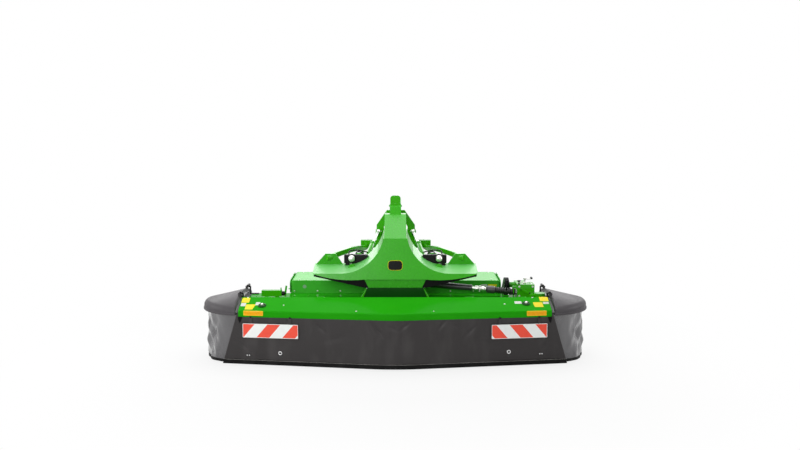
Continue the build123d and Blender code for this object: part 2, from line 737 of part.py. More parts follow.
with BuildPart() as arm:
    start = Vector(arm_front.X, behind(arm_front.Y), arm_front.Z)
    way = Vector(arm_rear.X, behind(arm_rear.Y), arm_rear.Z) - start
    with BuildSketch(Plane(origin=start - way * 0.1, z_dir=way)):
        Circle(arm_radius)
        Circle(arm_radius - 5, mode=Mode.SUBTRACT)
    extrude(amount=1.2 * way.length)
    with Locations((start.X, behind(arm_front.Y), start.Z)):
        Box(400, 300, 300, align=(Align.CENTER, Align.MAX, Align.CENTER), mode=Mode.SUBTRACT)
    with Locations((arm_rear.X, behind(arm_rear.Y), arm_rear.Z)):
        Box(400, 300, 300, align=(Align.CENTER, Align.MIN, Align.CENTER), mode=Mode.SUBTRACT)
save_pair(arm, "lower_arm")

# ---- Drive -----------------------------------------------------------------------------------
with BuildPart() as gearbox:
    with BuildSketch(Plane.XZ.offset(-behind(chin_rear + 5))):
        Polygon((-gearbox_half_width, deck_top), (gearbox_half_width, deck_top),
                (gearbox_half_width, nose_height - 19), (gearbox_half_width - 16, nose_height - 3),
                (16 - gearbox_half_width, nose_height - 3), (-gearbox_half_width, nose_height - 19), align=None)
    extrude(amount=chin_rear + 10 - housing_front)
    with BuildSketch(side_plane(-gearbox_upper_half)):
        side_outline([(gearbox_upper_front, deck_top + 20), (housing_front - 5, deck_top + 20),
                      (housing_front - 5, input_height - 60), (gearbox_rear, input_height - 60),
                      (gearbox_rear, gearbox_top), (gearbox_upper_front, gearbox_top)])
    extrude(amount=2 * gearbox_upper_half)
    with Locations(Location((0, behind(gearbox_rear), input_height), (90, 0, 0))):
        Cylinder(input_radius + 10, 2 * input_depth + 10, mode=Mode.SUBTRACT)
save(gearbox, "centre_gearbox")

with BuildPart() as input_shaft:
    with Locations(Location((0, behind(gearbox_rear) - input_depth, input_height), (-90, 0, 0))):
        Cylinder(input_radius + 9, input_depth, align=(Align.CENTER, Align.CENTER, Align.MIN))
        Cylinder(input_radius, input_depth + input_length, align=(Align.CENTER, Align.CENTER, Align.MIN))
save(input_shaft, "input_shaft")


def drive_place(along):
    """Point on the side drive's axis, from its inner end (0) to its outer end (1)."""
    inner = Vector(drive_start.X, behind(drive_start.Y), drive_start.Z)
    outer = Vector(drive_end.X, behind(drive_end.Y), drive_end.Z)
    return inner + (outer - inner) * along


drive_way = drive_place(1) - drive_place(0)
drive_guard_part = 0.62
bellows_part = 1 - bellows_length / drive_way.length

with BuildPart() as drive_guard:
    for part, radius in ((0, drive_guard_radius), (drive_guard_part, drive_guard_end_radius)):
        with BuildSketch(Plane(origin=drive_place(part), z_dir=drive_way)):
            Circle(radius)
    loft()
    add(gearbox.part, mode=Mode.SUBTRACT)
save(drive_guard, "drive_guard")

with BuildPart() as drive_tube:
    with BuildSketch(Plane(origin=drive_place(drive_guard_part), z_dir=drive_way)):
        Circle(drive_shaft_radius)
    extrude(amount=(bellows_part - drive_guard_part) * drive_way.length)
save(drive_tube, "drive_tube")

with BuildPart() as bellows:
    with BuildSketch(Plane(origin=drive_place(bellows_part), z_dir=drive_way)):
        Circle(bellows_radius)
    extrude(amount=bellows_length)
    with Locations((drive_end.X, behind(drive_end.Y), drive_end.Z)):
        Box(200, 200, 200, align=(Align.MIN, Align.CENTER, Align.CENTER), mode=Mode.SUBTRACT)
save(bellows, "drive_bellows")

side_gear_top = 742
with BuildPart() as side_gearbox:
    with Locations((drive_end.X, behind(beam_line - 70), deck_top)):
        Box(guard_inner - 125 - drive_end.X, 150, side_gear_top - deck_top,
            align=(Align.MIN, Align.MIN, Align.MIN))
    with Locations((drive_end.X, behind(beam_line + 70), deck_top + 44)):
        Box(110, 145, side_gear_top - deck_top - 46, align=(Align.MIN, Align.MIN, Align.MIN))
    with Locations(Location((case_inner + case_width, behind(case_top_line), case_top_height), (0, 90, 0))):
        Cylinder(30, drive_end.X - case_inner - case_width + 10, align=(Align.CENTER, Align.CENTER, Align.MIN))
    with Locations((drive_end.X + 120, behind(disc_line - 42), deck_top)):
        Box(disc_places[-1] - drive_end.X - 120, 150, 54, align=(Align.MIN, Align.MIN, Align.MIN))
    with Locations((disc_places[-1], behind(disc_line), deck_top - deck_thickness)):
        Cylinder(58, 76, align=(Align.CENTER, Align.CENTER, Align.MIN))
save(side_gearbox, "side_gearbox")

crank_place = drive_end.X + 87
with BuildPart() as crank:
    with Locations((crank_place, behind(beam_line + 5), side_gear_top)):
        Cylinder(9, 52, align=(Align.CENTER, Align.CENTER, Align.MIN))
        Cylinder(22, 14, align=(Align.CENTER, Align.CENTER, Align.MIN))
    with Locations((crank_place, behind(beam_line + 5), side_gear_top + 46)):
        Box(80, 18, 12, align=(Align.MIN, Align.CENTER, Align.MIN))
    with Locations((crank_place + 73, behind(beam_line + 5), side_gear_top + 52)):
        Cylinder(11, 60, rotation=(90, 0, 0))
save(crank, "crank")

with BuildPart() as knob:
    with Locations((drive_end.X + 20, behind(beam_line - 40), side_gear_top)):
        Cylinder(6, 30, align=(Align.CENTER, Align.CENTER, Align.MIN))
    with Locations((drive_end.X + 20, behind(beam_line - 40), side_gear_top + 26)):
        Cylinder(20, 16, align=(Align.CENTER, Align.CENTER, Align.MIN))
save(knob, "stop_knob")

box_inner = wall_inner + 66
with BuildPart() as side_box:
    with Locations((-box_inner, behind(beam_line - 25), deck_top + 18)):
        Box(guard_inner - 180 - box_inner, 64, 62, align=(Align.MAX, Align.CENTER, Align.MIN))
    with Locations((-box_inner - 50, behind(beam_line - 25), deck_top),
                   (-box_inner - 160, behind(beam_line - 25), deck_top)):
        Box(40, 50, 18, align=(Align.CENTER, Align.CENTER, Align.MIN))
    with Locations((-box_inner - 8, behind(beam_line - 25), deck_top + 80)):
        Cylinder(6, 26, align=(Align.CENTER, Align.CENTER, Align.MIN))
save(side_box, "side_box")

# ---- Parking stands --------------------------------------------------------------------------
leg_front = crossbar_rear + seat_gap
pivot_line = leg_front + stand_size + stand_pivot_behind
with BuildPart() as stand:
    with Locations((stand_offset, behind(leg_front), foot_thickness)):
        Box(stand_size, stand_size, stand_pivot_height - foot_thickness,
            align=(Align.CENTER, Align.MIN, Align.MIN))
    with Locations((stand_offset, behind(leg_front + stand_size - 8), 0)):
        Box(foot_length, foot_length, foot_thickness, align=(Align.CENTER, Align.MAX, Align.MIN))
    with Locations((stand_offset, behind(pivot_line), stand_pivot_height)):
        Cylinder(24, stand_size, rotation=(0, 90, 0))
        Cylinder(10 + seat_gap, 2 * stand_size, rotation=(0, 90, 0), mode=Mode.SUBTRACT)
save_pair(stand, "parking_stand")

with BuildPart() as fork:
    for end in (-1, 1):
        with Locations((stand_offset + end * (stand_size / 2 + seat_gap + fork_thickness / 2),
                        behind(crossbar_rear), stand_pivot_height)):
            Box(fork_thickness, pivot_line + 24 - crossbar_rear, 52,
                align=(Align.CENTER, Align.MIN, Align.CENTER))
    with Locations((stand_offset, behind(pivot_line), stand_pivot_height)):
        Cylinder(10, stand_size + 4 * fork_thickness, rotation=(0, 90, 0))
save_both(fork, "stand_forks")
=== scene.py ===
# %% [markdown]
# # Dressing a front-mounted disc mower conditioner
# The solid model is loaded as a fixed frame: every plate, tube and gearbox already has its place
# and its joints. This script adds what the eye looks for on the real machine: soft folds in the
# skirts, rounded sheet edges, bolts, stitches, paint, moulded plastic and bare steel.

# %% Load the frame
import json
import math

import bmesh
import bpy
from mathutils import Matrix, Vector, noise


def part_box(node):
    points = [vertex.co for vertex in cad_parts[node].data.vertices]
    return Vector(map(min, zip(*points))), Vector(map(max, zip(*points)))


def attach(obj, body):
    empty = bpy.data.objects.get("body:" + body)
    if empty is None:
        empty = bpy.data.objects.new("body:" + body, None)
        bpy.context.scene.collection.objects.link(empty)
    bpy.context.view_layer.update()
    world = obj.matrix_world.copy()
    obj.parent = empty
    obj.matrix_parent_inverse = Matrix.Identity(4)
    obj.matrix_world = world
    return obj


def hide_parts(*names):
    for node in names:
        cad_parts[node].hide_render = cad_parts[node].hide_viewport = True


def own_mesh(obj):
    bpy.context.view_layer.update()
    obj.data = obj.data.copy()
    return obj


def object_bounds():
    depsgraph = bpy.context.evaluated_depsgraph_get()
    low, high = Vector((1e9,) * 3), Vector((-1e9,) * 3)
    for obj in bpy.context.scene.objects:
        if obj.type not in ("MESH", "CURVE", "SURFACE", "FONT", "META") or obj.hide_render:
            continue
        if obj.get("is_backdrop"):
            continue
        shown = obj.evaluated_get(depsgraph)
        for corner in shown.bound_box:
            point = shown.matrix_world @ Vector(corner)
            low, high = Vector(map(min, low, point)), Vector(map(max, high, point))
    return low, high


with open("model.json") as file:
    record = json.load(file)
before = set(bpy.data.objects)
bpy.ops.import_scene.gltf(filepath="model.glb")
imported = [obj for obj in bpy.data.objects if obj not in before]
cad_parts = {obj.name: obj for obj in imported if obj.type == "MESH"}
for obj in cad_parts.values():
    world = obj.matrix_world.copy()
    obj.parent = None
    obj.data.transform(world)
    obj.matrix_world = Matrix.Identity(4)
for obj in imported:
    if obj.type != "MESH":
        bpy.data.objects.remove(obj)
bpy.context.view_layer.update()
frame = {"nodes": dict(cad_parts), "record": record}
nodes = frame["nodes"]
NOSE = -1.0          # Y of the hood's nose, in metres

def behind(distance):
    """Y of a place this far behind the nose."""
    return NOSE + distance

# %% [markdown]
# ## Node tools
# Shaders and Geometry Nodes trees are both graphs of nodes. A few short functions add a node,
# set its modes, and give each input either a plain value or a link from another node. The
# shader tools that follow add the effects that come back most often.

# %% Node tools
def step(tree, kind, links=None, modes=None):
    """Adds a node: modes are its settings, links say what feeds each input, a socket or a plain value."""
    node = tree.nodes.new(kind)
    for label, value in (modes or {}).items():
        setattr(node, label, value)
    for label, source in (links or {}).items():
        if isinstance(source, bpy.types.NodeSocket):
            tree.links.new(source, node.inputs[label])
        elif source is not None:
            node.inputs[label].default_value = source
    return node

def sums(tree, operation, *terms):
    """One Math node."""
    return step(tree, "ShaderNodeMath", dict(enumerate(terms)), {"operation": operation}).outputs[0]

def object_place(tree):
    """Object coordinates, in metres."""
    return tree.nodes.new("ShaderNodeTexCoord").outputs["Object"]

def noise_at(tree, place, scale, detail=2.0):
    """Value noise of this scale, read at place."""
    return step(tree, "ShaderNodeTexNoise", {"Vector": place, "Scale": scale, "Detail": detail}).outputs["Fac"]

def ranged(tree, value, low, high, start=0.0, end=1.0):
    """A value moved from the range start..end into low..high."""
    return step(tree, "ShaderNodeMapRange", {"Value": value, "From Min": start, "From Max": end,
                                             "To Min": low, "To Max": high}).outputs["Result"]

def mixed(tree, factor, first, second):
    """Two colours mixed by a factor between 0 and 1. In a Mix node they are its inputs 6 and 7."""
    return step(tree, "ShaderNodeMix", {"Factor": factor, 6: first, 7: second}, {"data_type": "RGBA"}).outputs[2]

def bumped(tree, height, strength, distance):
    """A normal from a height map."""
    return step(tree, "ShaderNodeBump", {"Height": height, "Strength": strength,
                                         "Distance": distance}).outputs["Normal"]

def new_material(name):
    """A material, its tree, and the Principled shader in it."""
    made = bpy.data.materials.new(name)
    made.use_nodes = True
    return made, made.node_tree, made.node_tree.nodes["Principled BSDF"]

print("node tools ready")

# %% [markdown]
# ## Camera, lamps and floor
# The machine is seen straight from the front, from a little above the hood, as in a sales
# brochure. A wide lamp overhead gives the pale sheen on every face that looks up, one in front
# and two at the sides keep the upright faces readable, and one behind lights the rear. The
# floor is pale, with a faint shadow.

# %% Camera
def placed(name, data):
    """An object in the scene that shows this mesh, lamp or camera."""
    made = bpy.data.objects.new(name, data)
    bpy.context.scene.collection.objects.link(made)
    return made

CAMERA_TILT = 0.096      # radians below level
camera = placed("camera", bpy.data.cameras.new("camera"))
camera.data.sensor_width = 36.0
camera.data.lens = 37.02
camera.location = (0.05, behind(-7.858), 2.194)
camera.rotation_euler = (math.pi / 2 - CAMERA_TILT, 0, 0)
bpy.context.scene.camera = camera
bpy.context.scene.view_settings.view_transform = "Standard"

# %% Lamps and world
LAMPS = {  # name: place, aim, size, watts
    "top_lamp": ((0, 0.6, 5.2), (0, 0.2, 0), (8, 4.5), 230),
    "front_lamp": ((-3.0, -6.5, 3.6), (0, 0, 0.5), (4, 3), 260),
    "left_lamp": ((-6.0, -0.6, 2.2), (-1.9, 0, 0.4), (2.4, 2.4), 115),
    "right_lamp": ((6.0, -0.6, 2.2), (1.9, 0, 0.4), (2.4, 2.4), 115),
    "rear_lamp": ((0, 6.5, 3.6), (0, 0, 0.8), (10, 2.6), 215),
}
for name, (place, aim, size, power) in LAMPS.items():
    lamp = placed(name, bpy.data.lights.new(name, "AREA"))
    lamp.data.shape = "RECTANGLE"
    lamp.data.size, lamp.data.size_y = size
    lamp.data.energy = power
    lamp.location = place
    lamp.rotation_mode = "QUATERNION"
    lamp.rotation_quaternion = (Vector(place) - Vector(aim)).to_track_quat("Z", "Y")

WORLD_LIGHT, WORLD_SHOWN = 0.36, 1.0      # strength on the machine, and as a white background
world = bpy.data.worlds.new("studio")
bpy.context.scene.world = world
world.use_nodes = True
tree = world.node_tree
tree.nodes.clear()
rays = step(tree, "ShaderNodeLightPath").outputs
seen = sums(tree, "MAXIMUM", rays["Is Camera Ray"], rays["Is Glossy Ray"])
seen = sums(tree, "MAXIMUM", seen, rays["Is Transmission Ray"])
background = step(tree, "ShaderNodeBackground", {"Color": (1, 1, 1, 1),
                                                 "Strength": ranged(tree, seen, WORLD_LIGHT, WORLD_SHOWN)})
step(tree, "ShaderNodeOutputWorld", {"Surface": background.outputs[0]})
print("lamps:", ", ".join(LAMPS))

# %% Floor
FLOOR_HALF = 40.0
FADE_START, FADE_END = 1.9, 4.0           # the floor turns into plain background between these radii
mesh = bpy.data.meshes.new("floor")
mesh.from_pydata([(x * FLOOR_HALF, y * FLOOR_HALF, 0) for x, y in ((-1, -1), (1, -1), (1, 1), (-1, 1))], [],
                 [(0, 1, 2, 3)])
floor = placed("floor", mesh)
pale, tree, bsdf = new_material("pale_floor")
bsdf.inputs["Base Color"].default_value = (0.62, 0.62, 0.62, 1)
bsdf.inputs["Roughness"].default_value = 0.9
glow = step(tree, "ShaderNodeEmission", {"Strength": 1.0})
distance = step(tree, "ShaderNodeVectorMath", {0: object_place(tree)}, {"operation": "LENGTH"}).outputs["Value"]
rays = step(tree, "ShaderNodeLightPath").outputs
shown = sums(tree, "MULTIPLY", rays["Is Camera Ray"], ranged(tree, distance, 0.8, 1.0, FADE_START, FADE_END))
mix = step(tree, "ShaderNodeMixShader", {0: shown, 1: bsdf.outputs[0], 2: glow.outputs[0]})
tree.links.new(mix.outputs[0], tree.nodes["Material Output"].inputs["Surface"])
mesh.materials.append(pale)
floor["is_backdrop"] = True
print("floor: fades out from", FADE_START, "to", FADE_END, "m")

# %% [markdown]
# ## Shared surface effects
# Several finishes share the same small effects, so each effect is one node group with named
# sizes: a slightly wavy paint skin, the pebbled grain of mouldings and castings, the fine
# weave of coated cloth, and the drawn streaks of bare steel. All of them read Object
# coordinates, in metres, so the grain has the same size on every piece.

# %% Groups with a colour, a roughness and a normal
def effect(name, inputs):
    """An empty shader group with named inputs: returns it, what it is given, and the place on the piece."""
    group = bpy.data.node_groups.new(name, "ShaderNodeTree")
    for label, default in inputs.items():
        kind = "NodeSocketColor" if isinstance(default, tuple) else "NodeSocketFloat"
        group.interface.new_socket(label, in_out="INPUT", socket_type=kind).default_value = default
    for label, kind in (("Colour", "Color"), ("Roughness", "Float"), ("Normal", "Vector")):
        group.interface.new_socket(label, in_out="OUTPUT", socket_type=f"NodeSocket{kind}")
    return group, group.nodes.new("NodeGroupInput").outputs, object_place(group)

def put_out(group, colour, roughness, normal):
    """Closes a group."""
    step(group, "NodeGroupOutput", {"Colour": colour, "Roughness": roughness, "Normal": normal})
    return group

def stretched(tree, place, scale):
    """The place squeezed or stretched along its axes, so that what is drawn there runs one way."""
    return step(tree, "ShaderNodeMapping", {"Vector": place, "Scale": scale}).outputs[0]

# %% Paint skin, moulded grain, weave and drawn steel
def paint_skin():
    """Gloss paint: faint cloudiness in the colour, and the slow ripple that sprayed paint keeps."""
    group, given, place = effect("paint_skin", {"Colour": (0, 0.3, 0, 1), "Shade": (0, 0.2, 0, 1), "Gloss": 0.25})
    cloud = ranged(group, noise_at(group, place, 3.0, 4.0), 0.0, 1.0, 0.35, 0.75)
    smear = noise_at(group, place, 14.0, 6.0)
    return put_out(group, mixed(group, cloud, given["Colour"], given["Shade"]),
                   sums(group, "MULTIPLY_ADD", smear, 0.05, given["Gloss"]),
                   bumped(group, noise_at(group, place, 26.0, 1.0), 0.012, 0.004))

def moulded_grain():
    """Pebbled skin of moulded plastic and sand castings."""
    group, given, place = effect("moulded_grain", {"Colour": (0.03, 0.03, 0.03, 1), "Worn": (0.08, 0.08, 0.08, 1),
                                                   "Grain Scale": 420.0, "Roughness": 0.45})
    cells = step(group, "ShaderNodeTexVoronoi", {"Vector": place, "Scale": given["Grain Scale"]})
    patch = ranged(group, noise_at(group, place, 5.0, 5.0), 0.0, 1.0, 0.42, 0.78)
    return put_out(group, mixed(group, patch, given["Colour"], given["Worn"]),
                   sums(group, "MULTIPLY_ADD", patch, 0.14, given["Roughness"]),
                   bumped(group, cells.outputs["Distance"], 0.22, 0.0015))

def coated_weave():
    """Coated cloth: a fine plain weave under a rubbery skin, with scuffed streaks."""
    group, given, place = effect("coated_weave", {"Colour": (0.03, 0.03, 0.03, 1), "Scuff": (0.1, 0.1, 0.1, 1),
                                                  "Threads Per Metre": 700.0, "Roughness": 0.4})
    split = step(group, "ShaderNodeSeparateXYZ", {"Vector": place})
    waves = [sums(group, "SINE", sums(group, "MULTIPLY", split.outputs[axis], given["Threads Per Metre"]))
             for axis in ("X", "Z")]
    streak = ranged(group, noise_at(group, stretched(group, place, (1.0, 1.0, 0.35)), 7.0, 7.0), 0.0, 1.0, 0.5, 0.82)
    return put_out(group, mixed(group, streak, given["Colour"], given["Scuff"]),
                   sums(group, "MULTIPLY_ADD", streak, 0.2, given["Roughness"]),
                   bumped(group, sums(group, "MULTIPLY", *waves), 0.1, 0.0008))

def drawn_steel():
    """Bare or plated steel: long drawn streaks in the colour and the shine."""
    group, given, place = effect("drawn_steel", {"Colour": (0.5, 0.5, 0.5, 1), "Stain": (0.2, 0.15, 0.1, 1),
                                                 "Stain Amount": 0.3})
    streak = noise_at(group, stretched(group, place, (1.0, 30.0, 30.0)), 12.0, 3.0)
    blotch = ranged(group, noise_at(group, place, 16.0, 6.0), 0.0, given["Stain Amount"], 0.45, 0.8)
    return put_out(group, mixed(group, blotch, given["Colour"], given["Stain"]),
                   ranged(group, streak, 0.28, 0.5, 0.3, 0.7), bumped(group, streak, 0.06, 0.001))

GROUPS = {"paint": paint_skin(), "grain": moulded_grain(), "weave": coated_weave(), "steel": drawn_steel()}
print("shader groups:", ", ".join(sorted(GROUPS)))

# %% [markdown]
# ## Finishes
# Each finish is one Principled shader fed by one of those groups. Plain numbers such as the
# metal and the clear coat sit on the shader's own sockets.

# %% Materials
def finish(name, effect, coat=0.0, metal=0.0, coat_rough=0.1, specular=0.5, **values):
    """A material from a shared effect: values are the group's named inputs."""
    made, tree, bsdf = new_material(name)
    group = step(tree, "ShaderNodeGroup", modes={"node_tree": GROUPS[effect]})
    for label, value in values.items():
        value = (*value, 1) if isinstance(value, tuple) else value
        group.inputs[label.replace("_", " ").title()].default_value = value
    for given, taken in (("Colour", "Base Color"), ("Roughness", "Roughness"), ("Normal", "Normal")):
        tree.links.new(group.outputs[given], bsdf.inputs[taken])
    for label, value in {"Metallic": metal, "Coat Weight": coat, "Coat Roughness": coat_rough,
                         "Specular IOR Level": specular}.items():
        bsdf.inputs[label].default_value = value
    return made

FINISHES = {
    "machine_green": dict(effect="paint", specular=0.28, colour=(0.04, 0.37, 0.003),
                          shade=(0.034, 0.345, 0.003), gloss=0.12),
    "arch_green": dict(effect="paint", specular=0.3, colour=(0.029, 0.35, 0.0015),
                       shade=(0.025, 0.325, 0.0015), gloss=0.25),
    # arch_top_painted_sheen: a rough coat, and a paler green that is painted sheen of the light on the up-facing wing
    # tops
    "arch_top_painted_sheen": dict(effect="paint", coat=1.0, coat_rough=0.42, specular=0.5, colour=(0.1, 0.46, 0.085),
                     shade=(0.09, 0.43, 0.078), gloss=0.42),
    # hood_green: darker than machine_green, a painted shade of the arch's shadow and reflection on the hood top; the
    # deck is painted with it too
    "hood_green": dict(effect="paint", specular=0.015, colour=(0.016, 0.3, 0.005), shade=(0.013, 0.28, 0.004),
                       gloss=0.12),
    # housing_green: paler than machine_green, a painted highlight of the light falling on the housing's faces
    "housing_green": dict(effect="paint", specular=0.05, colour=(0.055, 0.42, 0.035),
                          shade=(0.05, 0.39, 0.03), gloss=0.2),
    # dark_green: the hood plugs' paint, and painted shade on the plate across the pedestal's front
    "dark_green": dict(effect="paint", specular=0.1, colour=(0.004, 0.06, 0.004), shade=(0.003, 0.05, 0.003),
                       gloss=0.3),
    "guard_plastic": dict(effect="grain", specular=0.07, colour=(0.066, 0.0615, 0.066),
                          worn=(0.08, 0.075, 0.079), grain_scale=350.0, roughness=0.36),
    "black_plastic": dict(effect="grain", specular=0.15, colour=(0.005, 0.005, 0.0055),
                          worn=(0.011, 0.011, 0.012), grain_scale=500.0, roughness=0.38),
    "rubber": dict(effect="grain", specular=0.6, colour=(0.009, 0.009, 0.009), worn=(0.018, 0.018, 0.018),
                   grain_scale=700.0, roughness=0.4),
    "sleeve_plastic": dict(effect="grain", specular=0.6, colour=(0.024, 0.022, 0.026),
                           worn=(0.04, 0.038, 0.042), grain_scale=500.0, roughness=0.28),
    "black_paint": dict(effect="paint", specular=0.1, colour=(0.003, 0.003, 0.0034),
                        shade=(0.005, 0.005, 0.0052), gloss=0.3),
    "skirt_cloth": dict(effect="weave", specular=0.28, colour=(0.031, 0.028, 0.028),
                        scuff=(0.05, 0.046, 0.046), roughness=0.45),
    "side_cloth": dict(effect="weave", coat=1.0, coat_rough=0.12, specular=1.0, colour=(0.034, 0.032, 0.036),
                       scuff=(0.09, 0.086, 0.091), roughness=0.2),
    # hem_cloth: near-black, the doubled hem's own colour and also painted shade of the dark under the skirts' feet
    "hem_cloth": dict(effect="weave", specular=0.15, colour=(0.003, 0.003, 0.003),
                      scuff=(0.012, 0.012, 0.012), roughness=0.5),
    "bare_steel": dict(effect="steel", metal=1.0, colour=(0.46, 0.46, 0.46), stain=(0.18, 0.12, 0.08),
                       stain_amount=0.5),
    "zinc": dict(effect="steel", metal=1.0, colour=(0.66, 0.66, 0.63), stain=(0.4, 0.4, 0.36),
                 stain_amount=0.35),
    "chrome": dict(effect="steel", metal=1.0, colour=(0.8, 0.8, 0.8), stain=(0.6, 0.6, 0.58),
                   stain_amount=0.2),
    "grey_steel": dict(effect="steel", metal=0.8, colour=(0.2, 0.2, 0.205), stain=(0.1, 0.08, 0.06),
                       stain_amount=0.4),
}
MATERIALS = {name: finish(name, **values) for name, values in FINISHES.items()}
SLOT_FINISH = {"machine_green": "machine_green", "hood_green": "hood_green", "guard_plastic": "guard_plastic",
               "curtain_cloth": "skirt_cloth", "black_paint": "black_paint", "disc_steel": "bare_steel",
               "rotor_steel": "grey_steel", "zinc": "zinc", "black_plastic": "black_plastic",
               "bellows_rubber": "rubber", "warning_plate": "black_paint", "reflector": "black_plastic"}
for subpart in frame["record"]["subparts"]:
    mesh = nodes[subpart["node"]].data
    mesh.materials.clear()
    mesh.materials.append(MATERIALS[SLOT_FINISH[subpart["material_slot"]]])
print("finishes:", len(MATERIALS))

# %% [markdown]
# ## Ways of making a piece
# Most of the machine is folded, welded and machined steel, so a few small tools are enough:
# a block with rounded edges, a turned shape, a plate cut from an outline and a bent pipe.
# Each is built as its own little mesh, moved to its place, and joined into the piece. A plate
# or casting whose solid is already right is copied, and only its sharp edges are broken.

# %% Places and outlines
BODY_OF = {node: body for body, names in frame["record"]["behaviour"]["bodies"].items() for node in names}
SIDES = (("right", False), ("left", True))     # the right-hand piece, and its mirror image
WAYS = (("left", -1), ("right", 1))
UP = (0, 0, 1)
FRONTWARDS = Matrix.Rotation(math.pi / 2, 4, "X")      # lays the Z axis towards the front
SIDEWAYS = Matrix.Rotation(math.pi / 2, 4, "Y")        # lays it to the right

def moved(x, y, z):
    """The placement at a point."""
    return Matrix.Translation((x, y, z))

def at(x, distance, z):
    """The placement at a point this far behind the nose."""
    return moved(x, behind(distance), z)

def along(start, end):
    """The placement that lays the Z axis from start towards end."""
    start, end = Vector(start), Vector(end)
    return Matrix.Translation(start) @ (end - start).to_track_quat("Z", "Y").to_matrix().to_4x4()

def placement(origin, across, up, out):
    """The placement that lays X, Y and Z along three directions square to each other."""
    turn = Matrix([Vector(way).normalized() for way in (across, up, out)]).transposed()
    return Matrix.Translation(origin) @ turn.to_4x4()

def outer_face(node):
    """How far from the middle of the machine a node's outer face lies."""
    return max(abs(corner[0]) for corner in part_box(node))

def oval(half_width, half_height, count):
    """Points round an ellipse."""
    return [(half_width * math.cos(a), half_height * math.sin(a)) for a in [math.tau * k / count for k in range(count)]]

def rounded_outline(points, radius, steps=5):
    """A closed outline with its corners rounded."""
    count, made = len(points), []
    for i in range(count):
        before, here, after = (Vector(points[(i + k) % count]) for k in (-1, 0, 1))
        back, ahead = (before - here), (after - here)
        reach = min(radius, back.length / 2.2, ahead.length / 2.2)
        first, last = here + back.normalized() * reach, here + ahead.normalized() * reach
        for k in range(steps + 1):
            t = k / steps
            made.append(tuple(first * (1 - t) ** 2 + here * 2 * t * (1 - t) + last * t ** 2))
    return made

def rounded_box(half_width, half_height, radius, steps=5):
    """The outline of a rectangle with rounded corners."""
    return rounded_outline([(-half_width, -half_height), (half_width, -half_height), (half_width, half_height),
                            (-half_width, half_height)], radius, steps)

# %% Shape tools
def join(bm, part, place=None):
    """Adds a small mesh to a piece, moved to its place first."""
    if place is not None:
        part.transform(place)
    scratch = bpy.data.meshes.new("scratch")
    part.to_mesh(scratch)
    part.free()
    bm.from_mesh(scratch)
    bpy.data.meshes.remove(scratch)

def broken_edges(part, width, steps=2, angle=30):
    """Rounds every edge of a small mesh that is sharper than angle."""
    sharp = [e for e in part.edges if len(e.link_faces) == 2 and e.calc_face_angle(0) > math.radians(angle)]
    bmesh.ops.bevel(part, geom=sharp, offset=width, segments=steps, profile=0.5, affect="EDGES",
                    clamp_overlap=True)

def block(bm, low, high, edge=0.003, steps=2, place=None):
    """A box between two corners, with rounded edges."""
    part = bmesh.new()
    bmesh.ops.create_cube(part, size=1.0)
    for vert in part.verts:
        vert.co = Vector([a + (b - a) * (c + 0.5) for a, b, c in zip(low, high, vert.co)])
    broken_edges(part, edge, steps)
    join(bm, part, place)

def plate(bm, outline, thickness, place=None, edge=0.0015, steps=2):
    """A flat plate: its outline in X and Y, extruded up by its thickness."""
    part = bmesh.new()
    base = part.faces.new([part.verts.new((x, y, 0)) for x, y in outline])
    grown = bmesh.ops.extrude_face_region(part, geom=[base])
    for item in grown["geom"]:
        if isinstance(item, bmesh.types.BMVert):
            item.co.z += thickness
    bmesh.ops.recalc_face_normals(part, faces=part.faces)
    if edge:
        broken_edges(part, edge, steps)
    join(bm, part, place)

def turned(bm, profile, place=None, steps=24):
    """A turned shape: (radius, height) points from the bottom of the axis to its top."""
    part = bmesh.new()
    rings = []
    for radius, height in profile:
        ring = oval(radius, radius, steps) if radius else [(0, 0)]
        rings.append([part.verts.new((*point, height)) for point in ring])
    for lower, upper in zip(rings, rings[1:]):
        for i in range(steps):
            j = (i + 1) % steps
            corners = [lower[i % len(lower)], lower[j % len(lower)], upper[j % len(upper)], upper[i % len(upper)]]
            part.faces.new(list(dict.fromkeys(corners)))
    bmesh.ops.recalc_face_normals(part, faces=part.faces)
    join(bm, part, place)

def rod(bm, start, end, radius, edge=0.0015, steps=20):
    """A round bar between two points, with its rims broken."""
    length = (Vector(end) - Vector(start)).length
    edge = min(edge, radius / 2, length / 3)
    turned(bm, [(0, 0), (radius - edge, 0), (radius, edge), (radius, length - edge), (radius - edge, length),
                (0, length)], along(start, end), steps)

def skinned(bm, rings, place=None):
    """A closed shape stretched over a list of rings of points."""
    part = bmesh.new()
    made = [[part.verts.new(p) for p in ring] for ring in rings]
    stretch(part, made)
    for ring in (made[0], made[-1]):
        part.faces.new(ring)
    bmesh.ops.recalc_face_normals(part, faces=part.faces)
    join(bm, part, place)

def stretch(part, rings):
    """Faces between each ring of corners and the next."""
    for lower, upper in zip(rings, rings[1:]):
        for i in range(len(lower)):
            j = (i + 1) % len(lower)
            part.faces.new([lower[i], lower[j], upper[j], upper[i]])

def eased(line, times, share):
    """A line of points with its corners cut this many times, its ends kept."""
    for _ in range(times):
        finer = [line[0]]
        for a, b in zip(line, line[1:]):
            finer += [a * (1 - share) + b * share, a * share + b * (1 - share)]
        line = finer + [line[-1]]
    return line

def heading(line, i):
    """The way a line of points runs at one of them."""
    return (line[min(i + 1, len(line) - 1)] - line[max(i - 1, 0)]).normalized()

def pipe(bm, points, radius, steps=14):
    """A pipe or bent rod through points, with its bends rounded."""
    spline = eased([Vector(p) for p in points], 4, 0.25)
    side, rings = None, []
    for i, centre in enumerate(spline):
        way = heading(spline, i)
        side = (way.orthogonal() if side is None else side - way * side.dot(way)).normalized()
        other = way.cross(side)
        rings.append([centre + radius * (x * side + y * other) for x, y in oval(1, 1, steps)])
    skinned(bm, rings)

